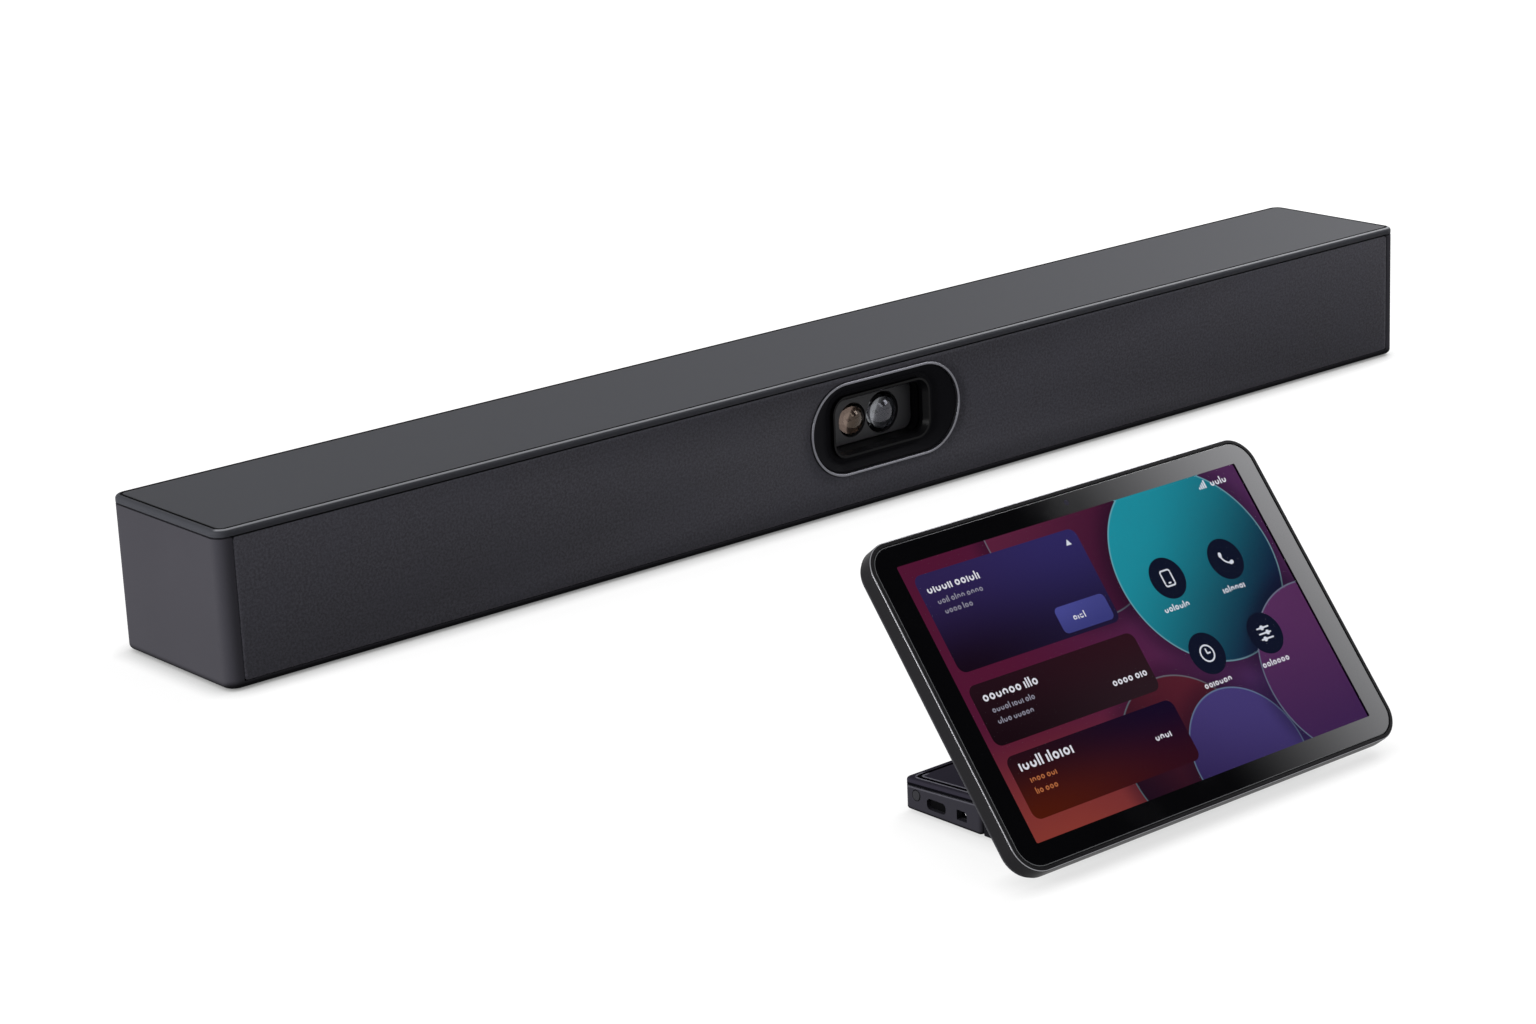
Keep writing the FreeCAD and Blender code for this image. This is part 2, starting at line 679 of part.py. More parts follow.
# Camera window
def window_ring():
    outer = stadium(WINDOW_WIDTH, WINDOW_HEIGHT, 0, WINDOW_Z)
    inner = stadium(WINDOW_WIDTH - 2 * RING_WIDTH, WINDOW_HEIGHT - 2 * RING_WIDTH, 0, WINDOW_Z)
    back = PANEL_BACK + RING_FLANGE_THICK
    ring = slab(outer, back + RING_PROUD, [inner])
    ring = soften(ring, RING_EDGE_R, at_level(back + RING_PROUD))
    wide = stadium(WINDOW_WIDTH + 2 * RING_FLANGE, WINDOW_HEIGHT + 2 * RING_FLANGE, 0, WINDOW_Z)
    flange = slab(wide, RING_FLANGE_THICK, [inner])
    return one(facing_front(ring.fuse(flange), back))


def window_dish():
    gap = RING_WIDTH + RING_CLEARANCE
    width = WINDOW_WIDTH - 2 * gap
    height = WINDOW_HEIGHT - 2 * gap
    plate = slab(stadium(width, height), DISH_BACK_DEPTH - DISH_RIM_DEPTH)
    rim = stadium(width - 2 * DISH_RIM_WIDTH, height - 2 * DISH_RIM_WIDTH)
    rim.translate(V(0, 0, DISH_BACK_DEPTH - DISH_RIM_DEPTH))
    floor = rect(HOOD_WIDTH + 6.0, HOOD_HEIGHT + 4.0, HOOD_CORNER_R + 2.0)
    floor.translate(V(0, 0, DISH_BACK_DEPTH - DISH_FLOOR_DEPTH))
    hollow = Part.makeLoft([floor, rim], True)
    hole = slab(rect(HOOD_WIDTH + 0.3, HOOD_HEIGHT + 0.3, HOOD_CORNER_R + 0.15), DISH_BACK_DEPTH)
    return one(facing_front(plate.cut([hollow, hole]), DISH_BACK_DEPTH, 0, WINDOW_Z))


def camera_hood():
    length = HOOD_BACK_DEPTH - HOOD_FRONT_DEPTH
    tube = slab(rect(HOOD_WIDTH, HOOD_HEIGHT, HOOD_CORNER_R), length)
    inside_w = HOOD_WIDTH - 2 * HOOD_WALL
    inside_h = HOOD_HEIGHT - 2 * HOOD_WALL
    inside_r = HOOD_CORNER_R - HOOD_WALL
    bore = slab(rect(inside_w, inside_h, inside_r), length)
    wide = rect(inside_w + 2 * HOOD_BEVEL, inside_h + 2 * HOOD_BEVEL, inside_r + HOOD_BEVEL)
    wide.translate(V(0, 0, length))
    narrow = rect(inside_w, inside_h, inside_r)
    narrow.translate(V(0, 0, length - 2 * HOOD_BEVEL))
    bevel = Part.makeLoft([narrow, wide], True, True)
    hood = facing_front(tube.cut([bore, bevel]), HOOD_BACK_DEPTH, 0, WINDOW_Z)
    half = SHUTTER_HEIGHT / 2 + SHUTTER_CLEARANCE
    near = depth(SHUTTER_FRONT - SHUTTER_CLEARANCE)
    far = depth(SHUTTER_FRONT + SHUTTER_THICK + SHUTTER_CLEARANCE)
    slot = block(0, HOOD_WIDTH, near, far, WINDOW_Z - half, WINDOW_Z + half)
    return one(hood.cut(slot))


def lens_plate():
    width = HOOD_WIDTH - 2 * HOOD_WALL - 0.2
    height = HOOD_HEIGHT - 2 * HOOD_WALL - 0.2
    holes = [circle(MAIN_LENS_R + LENS_WELL, MAIN_LENS_X), circle(SIDE_LENS_R + LENS_WELL, SIDE_LENS_X)]
    for hole in holes:
        hole.translate(V(0, -LENS_DROP, 0))
    outline = rect(width, height, HOOD_CORNER_R - HOOD_WALL - 0.1)
    plate = slab(outline, LENS_PLATE_THICK)
    rim = [e for e in plate.Edges if at_level(LENS_PLATE_THICK)(e)]
    bores = [slab(hole, LENS_PLATE_THICK) for hole in holes]
    plate = plate.makeChamfer(LENS_PLATE_BEVEL, rim).cut(bores)
    return one(facing_front(plate, LENS_PLATE_FRONT + LENS_PLATE_THICK, 0, WINDOW_Z))


def barrel(radius):
    """Lens barrel with a front bevel, a stepped waist and a seat for the glass."""
    front = BARREL_BACK_DEPTH - BARREL_FRONT
    seat = front - LENS_SEAT
    outer = radius + BARREL_WALL
    waist = outer - 1.0
    bore = radius - BARREL_LEDGE
    points = [(radius, seat), (radius, front), (outer - 0.4, front), (outer, front - 0.4)]
    points += [(outer, BARREL_WAIST), (waist, BARREL_WAIST), (waist, 0), (bore, 0), (bore, seat)]
    return turned(points)


def main_lens_barrel():
    return facing_front(barrel(MAIN_LENS_R), BARREL_BACK_DEPTH, MAIN_LENS_X, LENS_Z)


def side_lens_barrel():
    return facing_front(barrel(SIDE_LENS_R), BARREL_BACK_DEPTH, SIDE_LENS_X, LENS_Z)


def main_lens_glass():
    lens = dome(MAIN_LENS_R - LENS_FIT, MAIN_LENS_RISE, LENS_SEAT)
    return one(facing_front(lens, BARREL_FRONT, MAIN_LENS_X, LENS_Z))


def side_lens_glass():
    lens = dome(SIDE_LENS_R - LENS_FIT, SIDE_LENS_RISE, LENS_SEAT)
    return one(facing_front(lens, BARREL_FRONT, SIDE_LENS_X, LENS_Z))


def camera_board():
    back = BARREL_BACK_DEPTH + CAMERA_BOARD_THICK
    board = slab(rect(HOOD_WIDTH - 4.0, HOOD_HEIGHT - 2.0, 1.5), CAMERA_BOARD_THICK)
    chip_places = (SIDE_LENS_X, MAIN_LENS_X)
    chips = [slab(rect(5.6, 5.6, 0.2, x, -LENS_DROP), CAMERA_BOARD_THICK + 1.2) for x in chip_places]
    return one(facing_front(board.fuse(chips), back, 0, WINDOW_Z))


def camera_bracket():
    near = BARREL_BACK_DEPTH + CAMERA_BOARD_THICK
    far = near + BRACKET_THICK
    top = WINDOW_Z + HOOD_HEIGHT / 2
    wall = slab(rect(BRACKET_WIDTH, top - BAR_FLOOR, 2.0, 0, (top + BAR_FLOOR) / 2), BRACKET_THICK)
    holes = [slab(rect(16.0, 8.0, 2.0, x, BAR_FLOOR + 9.0), BRACKET_THICK) for x in (-18.0, 18.0)]
    upright = facing_front(wall.cut(holes), far)
    low = BAR_FLOOR + BRACKET_THICK
    half = BRACKET_WIDTH / 2
    foot = block(-half, half, depth(near), depth(far + BRACKET_FOOT), BAR_FLOOR, low)
    return one(upright.fuse(foot))


# Privacy shutter
def rack_profile(start, count, top):
    """Straight-sided teeth that point down along the lower edge of the blade."""
    pitch = math.pi * GEAR_MODULE
    slope = GEAR_MODULE * math.tan(math.radians(20))
    half = pitch / 4 - GEAR_BACKLASH / 2
    root = RACK_PITCH_Z + 1.25 * GEAR_MODULE
    low = RACK_PITCH_Z - 0.9 * GEAR_MODULE
    points = [(start, top), (start, root)]
    for i in range(count):
        mid = start + (i + 0.5) * pitch
        points.append((mid - half - 1.25 * slope, root))
        points.append((mid - half + 0.9 * slope, low))
        points.append((mid + half - 0.9 * slope, low))
        points.append((mid + half + 1.25 * slope, root))
    end = start + count * pitch
    points += [(end, root), (end, top)]
    return Part.makePolygon([V(x, z, 0) for x, z in points + [points[0]]])


def shutter_blade():
    """Sliding plate with a rack along its lower edge and a window in its tail."""
    full = SHUTTER_WIDTH + SHUTTER_TAIL
    left = SHUTTER_LEFT
    pitch = math.pi * GEAR_MODULE
    blade = slab(rect(full, SHUTTER_HEIGHT, 1.0, left + full / 2, WINDOW_Z), SHUTTER_THICK)
    half_teeth = math.floor((GEAR_X - left - 2.0) / pitch - 0.5)
    start = GEAR_X - (half_teeth + 0.5) * pitch
    count = math.floor((left + full - 2.0 - start) / pitch)
    bottom = WINDOW_Z - SHUTTER_HEIGHT / 2
    top = RACK_PITCH_Z + 1.25 * GEAR_MODULE + 0.5
    middle = start + count * pitch / 2
    strip = slab(rect(count * pitch, top - bottom + 1.0, 0, middle, (top + bottom - 1.0) / 2), SHUTTER_THICK)
    rack = slab(rack_profile(start, count, top), SHUTTER_THICK)
    tail_x = left + full - SHUTTER_TAIL / 2
    window = slab(rect(SHUTTER_TAIL - 6.0, SHUTTER_HEIGHT - 9.0, 2.0, tail_x, WINDOW_Z + 1.0), SHUTTER_THICK)
    return one(facing_front(blade.cut([strip, window]).fuse(rack), SHUTTER_FRONT + SHUTTER_THICK))


def involute_gear(teeth, module, width, bore_r):
    """Spur gear with involute flanks, a tooth space centred straight up."""
    pitch_r = module * teeth / 2
    base_r = pitch_r * math.cos(math.radians(20))
    tip_r = pitch_r + 0.9 * module
    root_r = pitch_r - 1.25 * module
    spread = math.tan(math.radians(20)) - math.radians(20)
    half = math.pi / (2 * teeth) - GEAR_BACKLASH / (2 * pitch_r)
    points = []
    for i in range(teeth):
        centre = math.pi / 2 + (i + 0.5) * 2 * math.pi / teeth
        flank = []
        for step in range(6):
            r = base_r + (tip_r - base_r) * step / 5
            roll = math.acos(base_r / r)
            flank.append((r, half + spread - (math.tan(roll) - roll)))
        points.append((root_r, centre - flank[0][1]))
        points += [(r, centre - a) for r, a in flank]
        points += [(r, centre + a) for r, a in reversed(flank)]
        points.append((root_r, centre + flank[0][1]))
    corners = [V(r * math.cos(a), r * math.sin(a), 0) for r, a in points]
    return slab(Part.makePolygon(corners + [corners[0]]), width, [circle(bore_r)])


def shutter_gear():
    gear = involute_gear(GEAR_TEETH, GEAR_MODULE, GEAR_WIDTH, MOTOR_SHAFT_R + 0.05)
    back = SHUTTER_FRONT + SHUTTER_THICK / 2 + GEAR_WIDTH / 2
    return facing_front(gear, back, GEAR_X, GEAR_Z)


def shutter_motor():
    front = GUIDE_BACK_DEPTH
    body = Part.makeCylinder(MOTOR_R, MOTOR_LENGTH)
    body = soften(body, 0.6, at_level(0))
    tip = SHUTTER_FRONT + SHUTTER_THICK / 2 - GEAR_WIDTH / 2 - 0.4
    shaft = Part.makeCylinder(MOTOR_SHAFT_R, MOTOR_LENGTH + front - tip)
    return one(facing_front(body.fuse(shaft), front + MOTOR_LENGTH, GEAR_X, GEAR_Z))


def shutter_guide():
    left = GUIDE_START
    right = GUIDE_START + GUIDE_LENGTH
    half = SHUTTER_HEIGHT / 2
    gap = SHUTTER_CLEARANCE
    low = GEAR_Z - GEAR_PITCH_R - 4.0
    high = WINDOW_Z + half + gap + GUIDE_RAIL
    plate = block(left, right, depth(GUIDE_BACK_DEPTH - GUIDE_BACK), depth(GUIDE_BACK_DEPTH), low, high)
    near = depth(GUIDE_FRONT_DEPTH)
    far = depth(GUIDE_BACK_DEPTH)
    rail = block(left, right, near, far, WINDOW_Z + half + gap, high)
    stop = block(right - 1.5, right, near, far, low, high)
    ledge = block(left, right, near, far, low, low + 1.5)
    holes = [Part.makeCylinder(MOTOR_SHAFT_R + 0.3, 6.0, V(GEAR_X, near, GEAR_Z), V(0, 1, 0))]
    for i in range(4):
        x = left + 24.0 + i * 14.0
        holes.append(block(x, x + 9.0, near, far, WINDOW_Z - 7.0, WINDOW_Z + 7.0))
    return one(plate.fuse([rail, stop, ledge]).cut(holes))


# Loudspeakers
def both_sides(shape, back_depth):
    return group([facing_front(shape, back_depth, s * SPEAKER_X, SPEAKER_Z) for s in (-1, 1)])


def speaker_gaskets():
    ring = slab(circle(SPEAKER_FLANGE_R), SPEAKER_GASKET_THICK, [circle(SPEAKER_FLANGE_R - 3.0)])
    return both_sides(ring, SPEAKER_FRONT)


def speaker_baskets():
    """Flanged basket with a conical wall, side windows and a hole for the pole."""
    edge = SPEAKER_FLANGE_R
    seat = edge - BASKET_SEAT
    rim = edge - 2.4
    low = -BASKET_DEPTH
    floor = low + BASKET_WALL
    narrow = MAGNET_R - 0.5
    hole = BASKET_HOLE_R
    points = [(seat, 0), (edge, 0), (edge, -BASKET_FLANGE), (rim, -BASKET_FLANGE), (narrow, low)]
    points += [(hole, low), (hole, floor), (narrow - 0.9, floor), (seat, -BASKET_FLANGE - 0.2)]
    basket = turned(points)
    half = BASKET_WINDOW_WIDTH / 2
    windows = []
    for i in range(BASKET_WINDOWS):
        cut = block(BASKET_WINDOW_INNER, edge, -half, half, floor + 2.0, -BASKET_WINDOW_START)
        cut.rotate(V(0, 0, 0), V(0, 0, 1), i * 360 / BASKET_WINDOWS)
        windows.append(cut)
    return both_sides(one(basket.cut(windows)), SPEAKER_FRONT)


def speaker_cones():
    edge = SPEAKER_FLANGE_R - BASKET_SEAT - SURROUND_WIDTH
    front = [(0, -CAP_DEPTH), (CAP_R, -CAP_DEPTH - 0.7), (CONE_NECK_R, -CONE_DEPTH), (edge, -CONE_EDGE_DEPTH)]
    back = [(r, z - CONE_THICK) for r, z in reversed(front)]
    return both_sides(turned(front + back), SPEAKER_FRONT)


def speaker_surrounds():
    """Half-roll ring between the cone and the basket."""
    outer = SPEAKER_FLANGE_R - BASKET_SEAT
    inner = outer - SURROUND_WIDTH
    middle = (inner + outer) / 2
    high = -CONE_EDGE_DEPTH
    low = high - CONE_THICK
    points = [(inner, low), (inner, high), (inner + 0.6, -0.5), (middle, 0.0), (outer - 0.6, -0.5)]
    points += [(outer, high + 0.2), (outer, low + 0.2), (outer - 0.9, -1.4), (middle, -0.9)]
    points.append((inner + 1.0, -1.3))
    return both_sides(turned(points), SPEAKER_FRONT)


def speaker_magnets():
    """Magnet behind the basket with a pole that stands up through its hole."""
    top = -BASKET_DEPTH
    low = top - MAGNET_THICK
    bevel = MAGNET_R - 0.6
    points = [(0, top + POLE_LENGTH), (POLE_R, top + POLE_LENGTH), (POLE_R, top), (bevel, top)]
    points += [(MAGNET_R, top - 0.6), (MAGNET_R, low + 0.6), (bevel, low), (0, low)]
    return both_sides(turned(points), SPEAKER_FRONT)


def speaker_boxes():
    boxes = []
    wall = SPEAKER_BOX_WALL
    near = depth(SPEAKER_FRONT + BASKET_FLANGE)
    far = depth(BAR_DEPTH - BAR_WALL - SPEAKER_BOX_BACK_GAP)
    high = HOUSING_TOP - SPEAKER_BOX_TOP_GAP
    for side in (-1, 1):
        x0 = side * SPEAKER_X - SPEAKER_BOX_WIDTH / 2
        x1 = side * SPEAKER_X + SPEAKER_BOX_WIDTH / 2
        outer = block(x0, x1, near, far, BAR_FLOOR, high)
        upright = [e for e in outer.Edges if e.BoundBox.ZLength > 10]
        outer = outer.makeFillet(4.0, upright)
        inner = block(x0 + wall, x1 - wall, near + wall, far - wall, BAR_FLOOR + wall, high - wall)
        seat = V(side * SPEAKER_X, near - 1, SPEAKER_Z)
        hole = Part.makeCylinder(SPEAKER_FLANGE_R - 2.2, wall + 2, seat, V(0, 1, 0))
        boxes.append(one(outer.cut([inner, hole])))
    return group(boxes)


# Microphones
def mic_boards():
    boards = []
    z = HOUSING_TOP - MIC_BELOW_TOP + MIC_BOARD_HEIGHT / 2
    for side in (-1, 1):
        x = side * (MIC_BOARD_START + MIC_BOARD_LENGTH / 2)
        wire = rect(MIC_BOARD_LENGTH, MIC_BOARD_HEIGHT, 1.0, x, z)
        boards.append(front_plate(wire, PANEL_BACK, PANEL_BACK + MIC_BOARD_THICK))
    return group(boards)


def mic_capsules():
    capsules = []
    near = PANEL_BACK + MIC_BOARD_THICK
    z = HOUSING_TOP - MIC_BELOW_TOP + MIC_BOARD_HEIGHT / 2
    for side in (-1, 1):
        for i in range(MIC_COUNT):
            along = MIC_BOARD_LENGTH / 2 + (i - (MIC_COUNT - 1) / 2) * MIC_PITCH
            wire = rect(3.8, 3.0, 0.5, side * (MIC_BOARD_START + along), z)
            capsules.append(front_plate(wire, near, near + 1.1))
    return group(capsules)


# Main board, cooler and rear connectors
def main_board():
    near = depth(BOARD_FRONT_DEPTH)
    far = depth(BOARD_BACK_DEPTH)
    half = BOARD_WIDTH / 2
    board = block(-half, half, near, far, BOARD_UNDERSIDE, BOARD_TOP)
    corners = [e for e in board.Edges if e.BoundBox.ZLength > BOARD_THICK / 2 and e.BoundBox.XLength < 0.1]
    corners = [e for e in corners if e.BoundBox.YLength < 0.1]
    board = board.makeFillet(2.0, corners)
    y = depth(SINK_START + SINK_DEPTH / 2)
    parts = [block(-CHIP_SIZE / 2, CHIP_SIZE / 2, y - CHIP_SIZE / 2, y + CHIP_SIZE / 2,
                   BOARD_TOP - 0.5, BOARD_TOP + CHIP_THICK)]
    for i in range(4):
        x = SINK_WIDTH / 2 + 8.0 + i * 13.0
        for mid in (-x, x):
            parts.append(block(mid - 4.5, mid + 4.5, y - 6.0, y + 6.0, BOARD_TOP - 0.5, BOARD_TOP + 1.2))
    return one(board.fuse(parts))


def heat_sink():
    y = depth(SINK_START + SINK_DEPTH / 2)
    low = BOARD_TOP + CHIP_THICK
    half = SINK_WIDTH / 2
    deep = SINK_DEPTH / 2
    parts = []
    for i in range(SINK_FINS):
        x = -half + SINK_FIN_THICK / 2 + i * (SINK_WIDTH - SINK_FIN_THICK) / (SINK_FINS - 1)
        thin = SINK_FIN_THICK / 2
        parts.append(block(x - thin, x + thin, y - deep, y + deep, low, low + SINK_HEIGHT))
    return one(block(-half, half, y - deep, y + deep, low, low + SINK_BASE).fuse(parts))


def network_shape(grow):
    return rect(16.0 + 2 * grow, 13.4 + 2 * grow, 0.4, 0, 6.7)


def video_shape(grow):
    half = 7.5 + grow
    low = -grow
    high = 5.8 + grow
    points = [(-half + 1.6, low), (half - 1.6, low), (half, low + 1.9), (half, high), (-half, high)]
    return rounded_polygon(points + [(-half, low + 1.9)], [0.4] * 6)


def usb_a_shape(grow):
    return rect(13.4 + 2 * grow, 6.0 + 2 * grow, 0.5, 0, 3.0)


def usb_c_shape(grow, lift):
    return rect(9.0 + 2 * grow, 3.2 + 2 * grow, 1.55 + grow, 0, lift)


def power_shape(grow):
    return rect(9.4 + 2 * grow, 10.6 + 2 * grow, 0.5, 0, 5.3)


def rear_socket(shape, length, x):
    """Connector body set on the board with its mouth just proud of the bay floor."""
    return facing_rear(shape, MOUTH_DEPTH - length, x, BOARD_TOP)


def network_socket():
    length = NETWORK_LENGTH
    body = slab(network_shape(0), length)
    cavity = slab(rect(11.8, 8.0, 0.3, 0, 6.4), 11.5)
    notch = slab(rect(6.2, 2.6, 0.3, 0, 11.2), 11.5)
    cavity.translate(V(0, 0, length - 11.5))
    notch.translate(V(0, 0, length - 11.5))
    return one(rear_socket(body.cut([cavity, notch]), length, NETWORK_X))


def video_sockets():
    sockets = []
    length = 11.0
    for x in (VIDEO_IN_X, VIDEO_OUT_X):
        body = slab(video_shape(0), length)
        cavity = slab(video_shape(-0.55), length - 1.5)
        cavity.translate(V(0, 0, 1.5))
        tongue = slab(rect(11.4, 1.1, 0.2, 0, 3.2), length - 1.2)
        sockets.append(one(rear_socket(body.cut(cavity).fuse(tongue), length, x)))
    return group(sockets)


def usb_a_socket():
    length = 14.0
    body = slab(usb_a_shape(0), length)
    cavity = slab(usb_a_shape(-0.45), length - 1.5)
    cavity.translate(V(0, 0, 1.5))
    tongue = slab(rect(11.2, 1.8, 0.2, 0, 4.2), length - 1.0)
    return one(rear_socket(body.cut(cavity).fuse(tongue), length, USB_A_X))


def usb_c_socket_shape(length, lift):
    body = slab(usb_c_shape(0, lift), length)
    cavity = slab(usb_c_shape(-0.32, lift), length - 1.2)
    cavity.translate(V(0, 0, 1.2))
    tongue = slab(rect(6.6, 0.7, 0.2, 0, lift), length - 1.0)
    return body.cut(cavity).fuse(tongue)


def rear_usb_c_socket():
    length = 8.0
    return one(rear_socket(usb_c_socket_shape(length, 1.6), length, USB_C_X))


def power_inlet():
    length = 13.0
    body = slab(power_shape(0), length)
    bore = Part.makeCylinder(3.1, 10.0, V(0, 5.6, length - 10.0))
    pin = Part.makeCylinder(1.0, 9.0, V(0, 5.6, length - 10.5))
    return one(rear_socket(body.cut(bore).fuse(pin), length, POWER_X))


def rear_bay():
    tray_w = BAY_WIDTH - 2 * BAY_CLEARANCE
    tray_h = BAY_HEIGHT - 2 * BAY_CLEARANCE
    total = BAY_DEEP + BAY_WALL
    tray = slab(rect(tray_w, tray_h, BAY_CORNER_R - BAY_CLEARANCE), total)
    inside = rect(tray_w - 2 * BAY_WALL, tray_h - 2 * BAY_WALL, BAY_CORNER_R - BAY_CLEARANCE - BAY_WALL)
    hollow = slab(inside, total)
    hollow.translate(V(0, 0, BAY_WALL))
    drop = BOARD_TOP - BAY_Z
    gap = CONNECTOR_CLEARANCE
    cuts = [hollow]
    shapes = [(x, video_shape(gap)) for x in (VIDEO_IN_X, VIDEO_OUT_X)]
    shapes.append((NETWORK_X, network_shape(gap)))
    shapes += [(USB_A_X, usb_a_shape(gap)), (USB_C_X, usb_c_shape(gap, 1.6)), (POWER_X, power_shape(gap))]
    for x, wire in shapes:
        cut = slab(wire, BAY_WALL)
        cut.translate(V(-x, drop, 0))
        cuts.append(cut)
    cuts.append(Part.makeCylinder(BAR_BUTTON_R + BUTTON_CLEARANCE, BAY_WALL, V(-BAR_BUTTON_X, 0, 0)))
    return one(facing_rear(tray.cut(cuts), BAR_DEPTH - total, 0, BAY_Z))


def bar_button():
    """Push button with a collar behind the bay floor."""
    cap = Part.makeCylinder(BAR_BUTTON_R, BAY_WALL + 1.6, V(0, 0, -0.5))
    cap = soften(cap, 0.5, at_level(BAY_WALL + 1.1))
    collar = Part.makeCylinder(BAR_BUTTON_R + 1.2, 1.0, V(0, 0, -1.3))
    return one(facing_rear(cap.fuse(collar), BAY_FLOOR - BAY_WALL, BAR_BUTTON_X, BAY_Z))


def bar_button_switch():
    """Push switch on the board behind the button."""
    gap = BAR_BUTTON_TRAVEL + 0.4
    top = BAY_FLOOR - BAY_WALL - 1.3 - gap
    x = BAR_BUTTON_X
    body = block(x - 3.5, x + 3.5, depth(top - 6.0), depth(top - 0.8), BOARD_TOP, BAY_Z + 3.5)
    plunger = Part.makeCylinder(1.5, 1.5, V(x, depth(top - 1.5), BAY_Z), V(0, 1, 0))
    return one(body.fuse(plunger))


def wall_inserts():
    inserts = []
    for x, z in insert_places():
        ring = slab(circle(INSERT_R), INSERT_LENGTH, [circle(INSERT_BORE_R)])
        inserts.append(facing_rear(ring, BAR_DEPTH - INSERT_LENGTH, x, z))
    return group(inserts)


def tripod_insert():
    ring = slab(circle(TRIPOD_R), TRIPOD_LENGTH, [circle(TRIPOD_BORE_R)])
    ring.translate(V(0, depth(TRIPOD_DEPTH), BAR_UNDERSIDE))
    return ring


# Console foot, drawn with the hinge axis at x = 0, y = 0
def base_plan(inset, bottom, top):
    half = BASE_HALF - inset
    near = BASE_FRONT + inset
    far = BASE_BACK - inset
    radius = max(BASE_CORNER_R - inset, 0.4)
    points = [(-half, near), (half, near), (half, far), (-half, far)]
    solid = slab(rounded_polygon(points, [radius / 2, radius / 2, radius, radius]), top - bottom)
    solid.translate(V(0, 0, bottom))
    return solid


def wedge_above(drop):
    """Everything above a plane that lies the given drop under the sloped top of the foot."""
    def level(y):
        return BASE_BACK_HEIGHT - drop + (BASE_BACK - y) * BASE_SLOPE
    near = BASE_FRONT - 10.0
    far = BASE_BACK + 10.0
    roof = 4 * BASE_FRONT_HEIGHT
    points = [(near, level(near)), (far, level(far)), (far, roof), (near, roof)]
    prism = slab(rounded_polygon(points, [0, 0, 0, 0]), 2 * BASE_WIDTH)
    return along_x(prism, -BASE_WIDTH)


def boss_places():
    ys = (BASE_FRONT + 6.0, BASE_BACK - 6.0)
    return [(sx * BASE_BOSS_X, y) for sx in (-1, 1) for y in ys]


def base_foot_places():
    ys = (6.5, BASE_BACK - 8.0)
    return [(sx * BASE_FOOT_X, y) for sx in (-1, 1) for y in ys]


def jack_shape(grow):
    return rounded_polygon([(-2.6 - grow, -1.9 - grow), (2.6 + grow, -1.9 - grow), (2.6 + grow, 1.9 + grow),
                            (-1.4 - grow, 1.9 + grow), (-2.6 - grow, 0.7 + grow)], [0.3] * 5)


def side_mouth():
    """Opening in the left wall in front of the small socket."""
    return rect(SIDE_MOUTH_WIDTH, SIDE_MOUTH_HEIGHT, SIDE_MOUTH_R)


def side_drawing(shape, x, y, z):
    """Drawing in XY put on the left wall: X runs back, Y up, Z into the foot."""
    placed = along_x(shape, x)
    placed.translate(V(0, y, z))
    return placed


def base_tray():
    solid = base_plan(0, BASE_UNDERSIDE, BASE_STOCK)
    solid = soften(solid, 0.8, at_level(BASE_UNDERSIDE))
    cavity = base_plan(BASE_WALL, BASE_INSIDE, BASE_STOCK + 1)
    tray = solid.cut([cavity, wedge_above(LID_THICK + LID_SEAM)])
    left = -BASE_HALF - 1.0
    cuts = []
    cuts.append(side_drawing(slab(side_mouth(), BASE_WALL + 2), left, SIDE_USB_Y, PORT_CENTRE_Z))
    cuts.append(side_drawing(slab(jack_shape(0), BASE_WALL + 2), left, SIDE_JACK_Y, PORT_CENTRE_Z))
    hole = Part.makeCylinder(SIDE_BUTTON_R + BUTTON_CLEARANCE, BASE_WALL + 2)
    cuts.append(side_drawing(hole, left, SIDE_BUTTON_Y, SIDE_BUTTON_Z))
    gap = 0.2
    cuts.append(block(-TONGUE_HALF - gap, TONGUE_HALF + gap, BASE_FRONT - 1, BASE_FRONT + BASE_WALL + 0.5,
                      BASE_INSIDE, BASE_INSIDE + TONGUE_THICK + gap))
    for x, y in base_foot_places():
        if y > BASE_FRONT:
            cuts.append(Part.makeCylinder(BASE_FOOT_R + 0.1, BASE_FOOT_SINK, V(x, y, BASE_UNDERSIDE)))
    for x, y in boss_places():
        seat = V(x, y, BASE_UNDERSIDE)
        cuts.append(Part.makeCylinder(SCREW_HEAD_R + 0.2, SCREW_HEAD_HEIGHT, seat))
        cuts.append(Part.makeCylinder(SCREW_SHANK_R + 0.3, BASE_FLOOR + 1, seat))
    rests = []
    for y in (BASE_FRONT + 4.0, BASE_BACK - 5.0):
        rests.append(block(BASE_BOARD_LEFT + 1, BASE_BOARD_LEFT + BASE_BOARD_WIDTH - 1, y - 1.5, y + 1.5,
                           BASE_INSIDE - 0.5, BASE_INSIDE + BASE_BOARD_LIFT))
    return on_desk(one(tray.cut(cuts).fuse(rests)))


